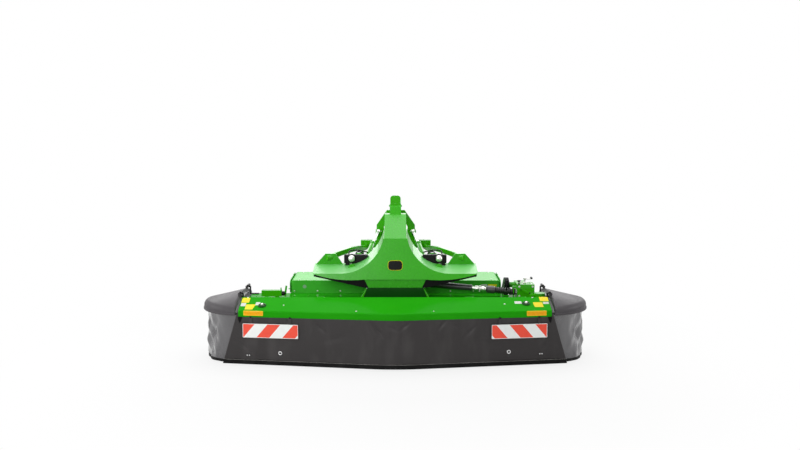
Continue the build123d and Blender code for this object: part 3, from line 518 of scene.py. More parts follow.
def mirrored(bm):
    """Adds the mirror image across the middle of the machine."""
    twin = bm.copy()
    flipped(twin)
    join(bm, twin)

def flipped(bm):
    """Turns a mesh into its mirror image."""
    for vert in bm.verts:
        vert.co.x = -vert.co.x
    bmesh.ops.reverse_faces(bm, faces=bm.faces)

# %% From mesh to piece
def set_down(name, mesh, body, stands_for, smooth):
    """Shows a finished mesh as a piece that rides on a body, smooth except at its sharp edges."""
    mesh.polygons.foreach_set("use_smooth", [True] * len(mesh.polygons))
    mesh.set_sharp_from_angle(angle=math.radians(smooth))
    piece = placed(name, mesh)
    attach(piece, body)
    if stands_for:
        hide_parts(*stands_for)
    return piece

def make_piece(name, bm, material, body, stands_for=(), smooth=35, flip=False):
    """Turns a mesh under construction into a piece; flip makes it the left-hand one."""
    if flip:
        flipped(bm)
    mesh = bpy.data.meshes.new(name)
    bm.to_mesh(mesh)
    bm.free()
    for label in ([material] if isinstance(material, str) else material):
        mesh.materials.append(MATERIALS[label])
    piece = set_down(name, mesh, body, stands_for, smooth)
    if smooth < 60:
        piece.modifiers.new("flat_faces_first", "WEIGHTED_NORMAL").keep_sharp = True
    return piece

def softened(node, width, material, steps=3, angle=30, extra=None):
    """A copy of a node with its sharp edges rounded, which then stands for the node."""
    bm = bmesh.new()
    bm.from_mesh(nodes[node].data)
    bmesh.ops.remove_doubles(bm, verts=bm.verts, dist=2e-5)
    bmesh.ops.dissolve_limit(bm, angle_limit=math.radians(0.5), verts=bm.verts, edges=bm.edges, delimit=set())
    broken_edges(bm, width, steps, angle)
    if extra is not None:
        extra(bm)
    return make_piece(f"{node}_formed", bm, material, BODY_OF[node], (node,), smooth=30)

print("shape tools ready")

# %% [markdown]
# ## Repeats
# Bolts, rings, tines and stitches are the same small shape many times over. A Geometry Nodes
# tree says how one is made and where its copies go, with a named input for each size. The
# result is then turned into a plain mesh, so that the piece no longer depends on the tree.

# %% Tree helpers
SOCKET_KINDS = {int: "NodeSocketInt", float: "NodeSocketFloat"}

def repeat_tree(name, sizes):
    """A Geometry Nodes tree with a named input for each size and one for the finish."""
    tree = bpy.data.node_groups.new(name, "GeometryNodeTree")
    new_socket = tree.interface.new_socket
    new_socket("Geometry", in_out="INPUT", socket_type="NodeSocketGeometry")
    for label, default in sizes.items():
        new_socket(label, in_out="INPUT", socket_type=SOCKET_KINDS[type(default)]).default_value = default
    new_socket("Finish", in_out="INPUT", socket_type="NodeSocketMaterial")
    new_socket("Geometry", in_out="OUTPUT", socket_type="NodeSocketGeometry")
    return tree, tree.nodes.new("NodeGroupInput").outputs

def finish_tree(tree, shape, given):
    """Closes a tree: copies made real, and the finish laid on."""
    real = step(tree, "GeometryNodeRealizeInstances", {"Geometry": shape.outputs[0]})
    coated = step(tree, "GeometryNodeSetMaterial", {"Geometry": real.outputs[0], "Material": given["Finish"]})
    step(tree, "NodeGroupOutput", {0: coated.outputs[0]})
    return tree

def stood_along_facing(tree, **modes):
    """The turn that stands a copy along the facing kept with its point."""
    facing = step(tree, "GeometryNodeInputNamedAttribute", {"Name": "facing"}, {"data_type": "FLOAT_VECTOR"})
    return step(tree, "FunctionNodeAlignRotationToVector", {"Vector": facing.outputs[0]}, {"axis": "Z", **modes})

def copied_to(tree, points, parts, rotation):
    """A copy of the joined parts, turned, at every point."""
    whole = step(tree, "GeometryNodeJoinGeometry")
    for part in parts:
        tree.links.new(part.outputs[0], whole.inputs[0])
    return step(tree, "GeometryNodeInstanceOnPoints", {"Points": points.outputs[0], "Instance": whole.outputs[0],
                                                       "Rotation": rotation.outputs[0]})

def facing_points(places):
    """A mesh of loose points that each keep a facing, from (point, direction) places."""
    bm = bmesh.new()
    facing = bm.verts.layers.float_vector.new("facing")
    for point, way in places:
        bm.verts.new(point)[facing] = Vector(way).normalized()
    return bm

def grown(name, bm, tree, values, material, body, slot, stands_for=(), smooth=35):
    """Runs a tree on a mesh, with values for its inputs, and keeps the result as a plain piece."""
    mesh = bpy.data.meshes.new(f"{name}_seed")
    bm.to_mesh(mesh)
    bm.free()
    seed = placed(f"{name}_seed", mesh)
    modifier = seed.modifiers.new("repeat", "NODES")
    modifier.node_group = tree
    values = {**values, "Finish": MATERIALS[material]}
    for item in tree.interface.items_tree:
        if item.in_out == "INPUT" and item.name in values:
            modifier[item.identifier] = values[item.name]
    seed.update_tag()
    graph = bpy.context.evaluated_depsgraph_get()
    mesh = bpy.data.meshes.new_from_object(seed.evaluated_get(graph), depsgraph=graph)
    bpy.data.objects.remove(seed)
    mesh.name = name
    print(f"{name}: {len(mesh.polygons)} faces")
    return set_down(name, mesh, body, stands_for, smooth)

# %% Bolt heads
def bolt_tree():
    """A hexagon head on a washer at every point, standing along the point's facing."""
    tree, given = repeat_tree("bolt_heads", {"Size": 0.01, "Head Height": 0.7, "Washer": 1.45, "Seed": 3})
    size = given["Size"]

    def times(factor):
        return sums(tree, "MULTIPLY", size, factor)

    washer_height = times(0.24)
    top = sums(tree, "ADD", times(given["Head Height"]), washer_height)
    washer = step(tree, "GeometryNodeMeshCylinder", {"Vertices": 18, "Radius": times(given["Washer"]),
                                                     "Depth": sums(tree, "MULTIPLY", washer_height, 2.0)})
    head = step(tree, "GeometryNodeMeshCone", {"Vertices": 6, "Radius Bottom": size, "Radius Top": times(0.94),
                                               "Depth": top})
    crown = step(tree, "GeometryNodeMeshCone", {"Vertices": 14, "Radius Bottom": times(0.8),
                                                "Radius Top": times(0.62), "Depth": times(0.12)})
    lift = step(tree, "ShaderNodeCombineXYZ", {"Z": top})
    crown_up = step(tree, "GeometryNodeTransform", {"Geometry": crown.outputs[0], "Translation": lift.outputs[0]})
    spin = step(tree, "FunctionNodeRandomValue", {"Seed": given["Seed"], 3: math.tau}, {"data_type": "FLOAT"})
    turn = step(tree, "FunctionNodeAxisAngleToRotation", {"Axis": UP, "Angle": spin.outputs[1]})
    both = step(tree, "FunctionNodeRotateRotation", {"Rotation": stood_along_facing(tree).outputs[0],
                                                     "Rotate By": turn.outputs[0]}, {"rotation_space": "LOCAL"})
    points = step(tree, "GeometryNodeMeshToPoints", {"Mesh": given["Geometry"]})
    return finish_tree(tree, copied_to(tree, points, (washer, head, crown_up), both), given)

BOLTS = bolt_tree()

def seat(place):
    """The (point, direction) of a placement, for a bolt that stands on it."""
    return place.to_translation(), place.to_3x3() @ Vector(UP)

def bolts(name, places, size, body="frame", slot="zinc", material="zinc"):
    """Bolt heads at (point, direction) places."""
    return grown(name, facing_points(places), BOLTS, {"Size": size}, material, body, slot, smooth=25)

# %% [markdown]
# ## Steel structure
# The arch, the conditioner housing and the hitch are welded sheet and castings. Their solids
# already have the right shape, so each is copied with its edges rounded: a small highlight on
# every edge is what tells the eye that a thing is thick metal. The wings' tops, which look up,
# have a rougher, hazy coat, and their paler colour is a painted sheen of the light from above.

# %% Arch, housing and hitch
NECK_HALF = 0.19     # half the width of the arch's neck, whose top keeps its gloss

def hazy_sheen_tops(bm):
    """Marks the faces of the wings that look up, which get a hazier coat and a paler colour that is painted sheen."""
    bm.normal_update()
    for face in bm.faces:
        face.material_index = int(face.normal.z > 0.5 and abs(face.calc_center_median().x) > NECK_HALF)

softened("arch", 0.007, ("arch_green", "arch_top_painted_sheen"), extra=hazy_sheen_tops)
softened("conditioner_housing", 0.004, "housing_green")
for node, width in {"headstock": 0.004, "left_lower_hitch_pin": 0.003, "right_lower_hitch_pin": 0.003,
                    "badge_block": 0.006, "pedestal": 0.004, "main_beam": 0.004, "side_gearbox": 0.005}.items():
    softened(node, width, "machine_green")
# The webs under the wings are painted black; their black also stands for the shade under the wings.
softened("wing_webs", 0.003, "black_paint")
# A dark green plate across the pedestal's front opening: painted shade, where the arch's chin darkens the space below
# it.
shade_plate = bmesh.new()
low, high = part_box("pedestal")
outline = [(-0.341, low[2] + 0.001), (0.341, low[2] + 0.001), (0.292, high[2] + 0.012), (-0.292, high[2] + 0.012)]
plate(shade_plate, outline, 0.0145, moved(0, low[1] + 0.0125, 0) @ FRONTWARDS, 0.002)
make_piece("pedestal_shade_plate", shade_plate, "dark_green", "frame")
print("structure: rounded copies made")

# %% [markdown]
# ## Front hood
# The hood is one folded sheet: a lip that hangs over the crop, a soft fold, and a sloping top
# that runs back to its hinges. The fold of thick sheet is never sharp, so the profile turns
# through a small arc, and the shallow point at the middle is eased in the same way.

# %% Hood profile
HOOD_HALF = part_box("front_hood")[1][0]
HOOD_REAR = 0.442                        # distance of its rear edge behind the nose
HOOD_FOLD, HOOD_TOP = 0.566, 0.655       # height of the fold and of the rear edge
HOOD_SHEET = 0.005
LIP_SLOPE = 0.2 / 1.56                   # how fast the front edge falls back to each side
HINGE_PLACES = (-1.3, -0.76, 0.76, 1.3)
HINGE_LINE, HINGE_HEIGHT = 0.458, 0.641

def sweep(x, slope=LIP_SLOPE, ease=0.1):
    """How far the hood's front lies behind the nose at x."""
    x = abs(x)
    return slope * (x if x > ease else x * x / (2 * ease) + ease / 2)

def hood_profile(x, inset=0.0):
    """Points of the sheet from the foot of its lip over the fold to its rear edge, as (distance, height)."""
    front, top = sweep(x) + inset, HOOD_FOLD - inset
    slope = (HOOD_TOP - HOOD_FOLD) / (HOOD_REAR - sweep(x))
    turn = 0.014
    points = [(front + 0.006, 0.5), (front + 0.0015, 0.5015), (front, 0.506), (front, 0.53)]
    first, corner, last = (front, top - turn), (front, top), (front + turn, top + turn * slope)
    for t in [k / 6 for k in range(7)]:
        points.append(tuple(a * (1 - t) ** 2 + b * 2 * t * (1 - t) + c * t * t
                            for a, b, c in zip(first, corner, last)))
    for t in (0.12, 0.5, 0.88, 0.985, 1.0):
        d = front + turn + (HOOD_REAR - front - turn) * t
        points.append((d, top + (d - front) * slope - (0.004 if t == 1.0 else 0)))
    return points

def hood_sheet(bm):
    """The sheet itself: outer and inner faces along stations across the machine, closed all round."""
    stations = [HOOD_HALF * s for s in (-1, -0.998, -0.99, -0.9, -0.75, -0.6, -0.45, -0.3, -0.18, -0.1, -0.064, -0.045,
                                        -0.03, -0.015, 0)]
    rings = []
    for x in stations + [-x for x in reversed(stations[:-1])]:
        shrink = 0.003 if abs(x) == HOOD_HALF else 0.0
        outer = [(d, z - shrink) for d, z in hood_profile(x)]
        rings.append([(x, behind(d), z) for d, z in outer + hood_profile(x, HOOD_SHEET)[::-1]])
    skinned(bm, rings)

# %% Hood with its hinge knuckles and ribs
hood = bmesh.new()
hood_sheet(hood)
for x in HINGE_PLACES:
    rod(hood, (x - 0.03, behind(HINGE_LINE), HINGE_HEIGHT), (x + 0.03, behind(HINGE_LINE), HINGE_HEIGHT), 0.014)
    block(hood, (x - 0.03, behind(0.428), 0.634), (x + 0.03, behind(0.456), 0.6515), 0.003)
for x in (-1.45, -1.03, -0.5, 0.5, 1.03, 1.45):
    front = sweep(x) + 0.007
    plate(hood, [(behind(front), 0.505), (behind(front + 0.06), 0.52), (behind(0.42), 0.63), (behind(0.43), 0.649),
                 (behind(front + 0.012), 0.558), (behind(front), 0.55)], 0.006,
          Matrix(((0, 0, 1, x - 0.003), (1, 0, 0, 0), (0, 1, 0, 0), (0, 0, 0, 1))))
make_piece("hood_sheet", hood, "hood_green", "front_hood_body", ("front_hood",))
print("hood: one sheet,", len(HINGE_PLACES), "hinges, 6 ribs")

# %% [markdown]
# ## Side guards
# Each guard is a moulded dome over the outer disc, cut straight where it hinges. A moulding
# keeps the same gap from its outline all the way up its shoulder, so the dome is built from
# rings that shrink inwards from the rim: the first few turn over the edge, the rest follow the
# gentle crown. A folded rim below stiffens it and holds the skirt.

# %% Guard dome
GUARD_CENTRE, GUARD_LINE = 1.505, 0.692      # its middle: X, and distance behind the nose
GUARD_INNER, GUARD_RADIUS = 1.592, 0.5       # X of the straight cut, and radius of the rim
SHOULDER, WALL = 0.042, 0.006                # radius of the turn from rim to crown, and its thickness

def crown_height(x, d):
    """Height of the dome's gentle top at a place."""
    share = min(max((x - GUARD_INNER) / (GUARD_CENTRE + GUARD_RADIUS - GUARD_INNER), 0), 1)
    t = (d - GUARD_LINE) / GUARD_RADIUS
    inner = 0.684 - (0.114 if t < 0 else 0.072) * t * t
    outer = 0.597 - (0.034 if t < 0 else 0.15) * t * t
    return inner + (outer - inner) * share

def guard_ring(inset, drop, arc_count=56, chord_count=26):
    """One closed ring of the dome: drawn in from its outline by inset, and this far below the crown."""
    radius, cut = GUARD_RADIUS - inset, GUARD_INNER + inset * 0.45
    angle = math.acos((cut - GUARD_CENTRE) / radius)
    points = []
    for a in [-angle + 2 * angle * i / arc_count for i in range(arc_count)]:
        points.append((GUARD_CENTRE + radius * math.cos(a), GUARD_LINE + radius * math.sin(a)))
    end = radius * math.sin(angle)
    for i in range(chord_count):
        points.append((cut, GUARD_LINE + end - 2 * end * i / chord_count))
    return [(x, behind(d), drop if drop > 0.3 else crown_height(x, d) + drop) for x, d in points]

def guard_dome(bm):
    """Outer skin, folded rim and inner skin of the right-hand guard."""
    part = bmesh.new()
    rim = ((0.0415, 0.512), (0.012, 0.5105), (0.0035, 0.5115), (0.0, 0.516), (0.001, 0.529), (0.0065, 0.533),
           (0.007, 0.54))
    shoulder = [(0.007 + SHOULDER * (1 - math.cos(a)), SHOULDER * (math.sin(a) - 1))
                for a in [math.pi / 2 * k / 6 for k in range(7)]]
    crown = [(inset, 0.0) for inset in (0.07, 0.1, 0.14, 0.18, 0.22, 0.25)]
    under = [(inset, -WALL) for inset in (0.25, 0.18, 0.11, 0.055)] + [(0.02, -0.03), (0.012, 0.535), (0.0415, 0.517)]
    outside, inside = ([[part.verts.new(p) for p in guard_ring(inset, drop)] for inset, drop in chain]
                       for chain in ((*rim, *shoulder, *crown), under))
    for chain in (outside, inside, (inside[-1], outside[0])):
        stretch(part, chain)
    for ring in (outside[-1], inside[0]):
        middle = part.verts.new(sum((v.co for v in ring), Vector()) / len(ring))
        for k in range(len(ring)):
            part.faces.new([ring[k], ring[(k + 1) % len(ring)], middle])
    bmesh.ops.recalc_face_normals(part, faces=part.faces)
    join(bm, part)

# %% Guards with their hinges and seals
GUARD_HINGES = (0.535, 0.95)
SEAL = [(1.6, 0.012), (1.6, 0.042), (1.572, 0.046), (1.569, 0.041), (1.59, 0.034)]   # X, drop below the crown
for side, flip in SIDES:
    dome = bmesh.new()
    guard_dome(dome)
    for middle in [line + end * 0.0303 for line in GUARD_HINGES for end in (-1, 1)]:
        near, far = behind(middle - 0.015), behind(middle + 0.015)
        rod(dome, (1.59, near, 0.692), (1.59, far, 0.692), 0.013)
        block(dome, (1.592, near, 0.662), (1.616, far, 0.69))
    make_piece(f"{side}_guard_dome", dome, "guard_plastic", f"{side}_guard_body",
               (f"{side}_side_guard",), smooth=40, flip=flip)
    seal = bmesh.new()
    for first, last in ((0.212, 0.512), (0.573, 0.905)):
        skinned(seal, [[(x, behind(d), crown_height(GUARD_INNER, d) - drop) for x, drop in SEAL]
                       for d in [first + (last - first) * i / 12 for i in range(13)]])
    make_piece(f"{side}_guard_seal", seal, "rubber", f"{side}_guard_body", flip=flip)
print("guards: radius", GUARD_RADIUS, "cut at", GUARD_INNER)

# %% [markdown]
# ## Skirts
# Heavy coated cloth hangs from the hood and from both side guards, down to just above the
# ground, and keeps stones in. It was cut to a size before it was hung, so its length round the
# machine hardly changes from top to foot, and the spare cloth shows as shallow upright folds.
# The front skirt has a doubled hem whose ledge catches the light, and pressed eyelets.

# %% Cloth in upright folds
CURTAIN_FOOT = 0.012
noise.seed_set(7)

def lowness(height, drop):
    """0 at the top of a skirt and 1 at its foot."""
    return 1 - min(max((height - CURTAIN_FOOT) / drop, 0), 1)

def fold(place, height, drop, size, seed):
    """How far the cloth stands out at a place along it: nothing at its top, most at its foot."""
    low = lowness(height, drop)
    wide = noise.noise(Vector((place * 1.7, height * 0.5, seed)))
    narrow = noise.noise(Vector((place * 5.1, height * 1.1, seed + 4.2)))
    dent = noise.noise(Vector((place * 3.0, height * 6.0, seed + 9.7)))
    return size * (low ** 0.8) * (wide + 0.45 * narrow) + size * 0.35 * dent * min(1, 4 * low)

# creases pressed in by folding the hood for the road: place, height, turn, half length, half width, depth
PRESSED = [(-1.05, 0.452, -0.9, 0.05, 0.012, 0.01), (-0.74, 0.413, -0.8, 0.06, 0.014, 0.01),
           (-0.171, 0.4, -0.88, 0.085, 0.016, 0.014), (-0.03, 0.42, -0.5, 0.05, 0.014, 0.01),
           (0.1, 0.44, 0.7, 0.05, 0.013, 0.009), (0.46, 0.443, 0.9, 0.06, 0.014, 0.01),
           (0.58, 0.45, -0.7, 0.05, 0.012, 0.009), (0.75, 0.38, 0.8, 0.075, 0.015, 0.012),
           (-1.5, 0.19, -0.8, 0.09, 0.022, 0.007), (1.5, 0.2, 0.8, 0.09, 0.022, 0.007),
           (-0.6, 0.3, 0.25, 0.1, 0.03, 0.004), (0.9, 0.25, -0.3, 0.12, 0.03, 0.004)]

def pressed(place, height, drop, size, seed):
    """Shallow folds with the pressed creases sunk into them."""
    stand = fold(place, height, drop, size, seed)
    for across, up, turn, half_length, half_width, depth in PRESSED:
        x, z = place - across, height - up
        if abs(x) + abs(z) > 0.35:
            continue
        along_it, off_it = x * math.cos(turn) + z * math.sin(turn), z * math.cos(turn) - x * math.sin(turn)
        stand -= depth * math.exp(-(off_it / half_width) ** 2 - (along_it / half_length) ** 2)
    return stand

def hanging_cloth(bm, path, count, top, foot, thickness, size, seed, rows=34, shape=fold, hem=0):
    """A closed sheet: path(share, height) gives its middle and its outward direction."""
    part = bmesh.new()
    outer, inner = [], []
    for r in range(rows + 1):
        height = foot + (top - foot) * (r / rows)
        spots = [path(c / count, height) for c in range(count + 1)]
        for grid, half in ((outer, thickness / 2), (inner, -thickness / 2)):
            grid.append([part.verts.new(centre + out * (shape(place, height, top - foot, size, seed) + half))
                         for centre, out, place in spots])
    for r in range(rows):
        for c in range(count):
            for grid in (outer, inner):
                corners = [grid[r][c], grid[r][c + 1], grid[r + 1][c + 1], grid[r + 1][c]]
                part.faces.new(corners).material_index = int(r < hem)
    for r in (0, rows):
        for c in range(count):
            part.faces.new([outer[r][c], inner[r][c], inner[r][c + 1], outer[r][c + 1]])
    for c in (0, count):
        for r in range(rows):
            part.faces.new([outer[r][c], inner[r][c], inner[r + 1][c], outer[r + 1][c]])
    bmesh.ops.recalc_face_normals(part, faces=part.faces)
    join(bm, part)

# %% Front skirt
FRONT_TOP, FRONT_HEM = 0.53, 0.058                # heights where the skirt hangs and where its hem begins
FRONT_TOP_HALF, FRONT_FOOT_HALF = 1.575, 1.735    # half its length at the top and at the foot
FRONT_FOOT_CORNER = 0.2647                        # how far the foot's corner lies behind its middle
FRONT_EASE = 0.25                                 # half the width of the bend in the middle
FRONT_FOLD = {"size": 0.0085, "seed": 1.3}

def front_half(height):
    """How far down the skirt a height lies, and half the skirt's length there."""
    drop = (FRONT_TOP - height) / (FRONT_TOP - CURTAIN_FOOT)
    return drop, FRONT_TOP_HALF + (FRONT_FOOT_HALF - FRONT_TOP_HALF) * drop

def front_path(share, height):
    """Middle of the front skirt at a share of its length, its outward direction, and the place along it."""
    drop, half = front_half(height)
    corner = sweep(FRONT_TOP_HALF) + (FRONT_FOOT_CORNER - sweep(FRONT_TOP_HALF)) * drop
    x = half * (2 * share - 1)
    slope = corner / half
    d = 0.008 + sweep(x, slope, FRONT_EASE)
    out = Vector((slope * math.copysign(min(abs(x) / FRONT_EASE, 1), x), -1, 0)).normalized()
    return Vector((x, behind(d), height)), out, x

front = bmesh.new()
hanging_cloth(front, front_path, 340, FRONT_TOP, FRONT_HEM, 0.005, **FRONT_FOLD, rows=52, shape=pressed)
front_cloth = make_piece("front_skirt", front, "skirt_cloth", "front_hood_body", ("front_curtain",),
                         smooth=60)
# The hem band is near-black: partly the doubled cloth, partly painted shade of the dark floor under the skirt's foot.
hem = bmesh.new()
hanging_cloth(hem, front_path, 150, 0.062, CURTAIN_FOOT, 0.0085, 0.0, 1.3, rows=5)
front_hem = make_piece("front_skirt_hem", hem, "hem_cloth", "front_hood_body", smooth=60)
print("front skirt: hangs from", FRONT_TOP, "to", CURTAIN_FOOT)

# %% Side skirts
SKIRT_RADIUS, SKIRT_TOP = 0.4552, 0.527

def tucked(angle):
    """1 where the cloth lies flat behind the front skirt, and 0 where it hangs free."""
    return min(max((-0.68 - angle) / 0.36, 0), 1)

def creased(place, height, drop, size, seed):
    """Stiffer cloth: flat facets that meet in upright and slanted ridges, deepest half-way down."""
    low = lowness(height, drop)
    tents = -0.3
    for wide, lean, share, start in ((0.27, 0.5, 1.0, 0.1), (0.17, -0.7, 0.8, 0.4), (0.11, 0.15, 0.3, 0.7)):
        turns = (place + lean * height) / wide + start * seed
        tents += share * (abs(turns - math.floor(turns) - 0.5) * 2 - 0.5)
    flat = tucked(place / SKIRT_RADIUS)
    return size * math.sin(math.pi * min(1, 0.06 + low * 0.85)) * tents * (1 - flat) - 0.026 * low * flat

def side_path(share, height):
    """Middle of the right side skirt, from its front edge round to its rear one."""
    first, last = math.radians(-117), math.radians(78)
    angle = first + (last - first) * share
    out = Vector((math.cos(angle), math.sin(angle), 0))
    return Vector((GUARD_CENTRE, behind(GUARD_LINE), height)) + out * SKIRT_RADIUS, out, angle * SKIRT_RADIUS

for side, flip in SIDES:
    cloth = bmesh.new()
    # The two lowest rows take the near-black hem cloth: a hem, and also painted shade at the skirt's foot.
    hanging_cloth(cloth, side_path, 170, SKIRT_TOP, CURTAIN_FOOT, 0.005, 0.028, 1.0 + 0.7 * flip,
                  shape=creased, hem=2)
    skirt = make_piece(f"{side}_side_skirt", cloth, ("side_cloth", "hem_cloth"), f"{side}_guard_body",
                       (f"{side}_side_curtain",), smooth=60, flip=flip)
    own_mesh(skirt)
print("side skirts: radius", SKIRT_RADIUS)

# %% [markdown]
# ## Hem stitching and eyelets
# The hem is sewn with pale thread, and the cloth is held back by straps through metal rings.
# A stitch is a few faces, so a tree can set hundreds of them along the seam.

# %% Stitches
def stitch_tree():
    """Short pale stitches along a seam line, lying along it."""
    tree, given = repeat_tree("hem_stitches", {"Spacing": 0.011, "Length": 0.008, "Thickness": 0.0022})
    line = step(tree, "GeometryNodeMeshToCurve", {"Mesh": given["Geometry"]})
    points = step(tree, "GeometryNodeCurveToPoints", {"Curve": line.outputs[0], "Length": given["Spacing"]},
                  {"mode": "LENGTH"})
    stitch = step(tree, "GeometryNodeMeshCylinder", {"Vertices": 6, "Depth": given["Length"],
                                                     "Radius": sums(tree, "MULTIPLY", given["Thickness"], 0.5)})
    lie = step(tree, "FunctionNodeAlignRotationToVector", {"Vector": points.outputs["Tangent"]}, {"axis": "Z"})
    return finish_tree(tree, copied_to(tree, points, (stitch,), lie), given)

MATERIALS["thread"] = finish("thread", "grain", colour=(0.3, 0.29, 0.27), worn=(0.2, 0.19, 0.18), grain_scale=900.0,
                             roughness=0.6)

def skirt_spot(x, height, lift=0.0):
    """Placement on the front skirt: Z out of the cloth and Y up."""
    centre, out, place = front_path((x / front_half(height)[1] + 1) / 2, height)
    stand = pressed(place, height, FRONT_TOP - FRONT_HEM, **FRONT_FOLD)
    return placement(centre + out * (stand + 0.0025 + lift), Vector(UP).cross(out), UP, out)

seam = bmesh.new()
spots = [front_path(i / 180, 0.0565) for i in range(181)]
knots = [seam.verts.new(centre + out * 0.0052) for centre, out, _ in spots]
for pair in zip(knots, knots[1:]):
    seam.edges.new(pair)
grown("hem_stitches", seam, stitch_tree(), {"Spacing": 0.011, "Length": 0.0085, "Thickness": 0.0034}, "thread",
      "front_hood_body", "curtain_cloth")

# %% Rings and rivets
rings, patches, rivets = bmesh.new(), bmesh.new(), bmesh.new()
RING_RADIUS, RING_THICK = 0.0155, 0.0045
for x, z in ((-1.141, 0.138), (1.133, 0.152)):
    turned(patches, [(0, -0.004), (0.026, -0.004), (0.027, 0.0005), (0, 0.001)], skirt_spot(x, z), 32)
    ring = bmesh.new()
    loops = [[ring.verts.new(((RING_RADIUS + r) * a, (RING_RADIUS + r) * b, 0.003 + h))
              for r, h in oval(RING_THICK, RING_THICK, 12)] for a, b in oval(1, 1, 28)]
    stretch(ring, [*loops, loops[0]])
    bmesh.ops.recalc_face_normals(ring, faces=ring.faces)
    join(rings, ring, skirt_spot(x, z))
    plate(patches, oval(0.019, 0.0095, 20), 0.004, skirt_spot(x, z - 0.04, -0.003), 0.001)
for x, z in ((-1.467, 0.106), (1.461, 0.121)):
    place = skirt_spot(x, z, 0.0005)
    plate(patches, oval(0.029, 0.011, 24), 0.0045, place, 0.001)
    for side in (-0.011, 0.011):
        turned(rivets, [(0, 0.002), (0.0065, 0.002), (0.0065, 0.0065), (0.005, 0.0085), (0, 0.009)],
               place @ moved(side, 0, 0), 14)
make_piece("skirt_rings", rings, "chrome", "front_hood_body")
make_piece("skirt_patches", patches, "rubber", "front_hood_body")
make_piece("skirt_rivets", rivets, "chrome", "front_hood_body")
print("hem stitched; rings and rivets set")

# %% [markdown]
# ## Warning plates, reflectors and blank labels
# A warning plate is thin sheet with a retroreflective film of slanted red and white bands that
# fall outwards on both sides. The bands are a formula on the place of each point, so they stay
# sharp at any distance. The small labels on the hood are left blank.

# %% Band film and lens
PLATE_LENGTH, PLATE_HEIGHT = 0.564, 0.141
PLATE_CENTRE, PLATE_TOP = 1.235, 0.436
PLATE_MIDDLE = PLATE_TOP - PLATE_HEIGHT / 2
BAND_STEP, BAND_LEAN = 0.26, 0.851       # a red and a white band along the plate, and how far they slant
LENS_CENTRE, LENS_MIDDLE = 1.405, 0.541
LENS_HALF, LENS_HALF_HEIGHT = 0.1, 0.025
LIP_ALONG = Vector((1, LIP_SLOPE, 0)).normalized()

def split_place(tree):
    """The place on a piece: distance from the middle of the machine, and height."""
    split = step(tree, "ShaderNodeSeparateXYZ", {"Vector": object_place(tree)})
    return sums(tree, "ABSOLUTE", split.outputs["X"]), split.outputs["Z"]

def outside(tree, *bounds):
    """1 outside a rectangle, given as (value, its middle, its half size) each way."""
    return sums(tree, "MAXIMUM", *[
        sums(tree, "GREATER_THAN", sums(tree, "ABSOLUTE", sums(tree, "SUBTRACT", value, middle)), half)
        for value, middle, half in bounds])

def band_film():
    """Slanted bands from the plate's outer edge, with a pale rim and a fine honeycomb of reflecting cells."""
    made, tree, bsdf = new_material("band_film")
    across, height = split_place(tree)
    from_edge = sums(tree, "SUBTRACT", PLATE_CENTRE + PLATE_LENGTH / 2 * LIP_ALONG.x, across)
    slid = sums(tree, "MULTIPLY_ADD", sums(tree, "SUBTRACT", PLATE_TOP, height), BAND_LEAN, from_edge)
    turns = sums(tree, "MULTIPLY_ADD", slid, 1 / BAND_STEP, 0.019)
    red = sums(tree, "LESS_THAN", sums(tree, "FRACT", turns), 0.5)
    rim = outside(tree, (across, PLATE_CENTRE, PLATE_LENGTH / 2 - 0.0065),
                  (height, PLATE_MIDDLE, PLATE_HEIGHT / 2 - 0.0045))
    shown = sums(tree, "MULTIPLY", red, sums(tree, "SUBTRACT", 1.0, rim))
    cells = step(tree, "ShaderNodeTexVoronoi", {"Vector": object_place(tree), "Scale": 320.0}).outputs["Distance"]
    dull = ranged(tree, noise_at(tree, object_place(tree), 18.0, 4.0), 0.0, 0.14, 0.45, 0.75)
    white = mixed(tree, dull, (0.8, 0.82, 0.8, 1), (0.5, 0.5, 0.48, 1))
    warm = mixed(tree, dull, (0.8, 0.065, 0.03, 1), (0.5, 0.05, 0.03, 1))
    tree.links.new(mixed(tree, shown, white, warm), bsdf.inputs["Base Color"])
    tree.links.new(ranged(tree, cells, 0.3, 0.42), bsdf.inputs["Roughness"])
    tree.links.new(bumped(tree, cells, 0.06, 0.001), bsdf.inputs["Normal"])
    return made

def prism_lens():
    """Orange lens: a grid of small pyramids inside a paler rim."""
    made, tree, bsdf = new_material("orange_lens")
    across, height = split_place(tree)
    waves = sums(tree, "MULTIPLY", *[sums(tree, "PINGPONG", value, 0.003) for value in (across, height)])
    off = outside(tree, (across, LENS_CENTRE, LENS_HALF - 0.007), (height, LENS_MIDDLE, LENS_HALF_HEIGHT - 0.007))
    grime = noise_at(tree, object_place(tree), 40.0, 4.0)
    inner = mixed(tree, ranged(tree, grime, 0.0, 0.35, 0.4, 0.8), (0.82, 0.36, 0.0, 1), (0.492, 0.198, 0.0, 1))
    tree.links.new(mixed(tree, off, inner, (0.85, 0.47, 0.01, 1)), bsdf.inputs["Base Color"])
    tree.links.new(bumped(tree, sums(tree, "MULTIPLY", waves, 1.0e5), 0.5, 0.001), bsdf.inputs["Normal"])
    tree.links.new(ranged(tree, grime, 0.12, 0.3), bsdf.inputs["Roughness"])
    bsdf.inputs["Specular IOR Level"].default_value = 0.2
    bsdf.inputs["Coat Weight"].default_value = 0.15
    return made

MATERIALS["band_film"] = band_film()
MATERIALS["orange_lens"] = prism_lens()
print("band film and lens ready")

# %% Plates and reflectors
def lip_place(x, height, out=0.0):
    """Placement on the face of the right-hand lip: X along it, Y up, Z out of it."""
    outwards = LIP_ALONG.cross(Vector(UP))
    return placement(Vector((x, behind(LIP_SLOPE * x), height)) + outwards * out, LIP_ALONG, UP, outwards)

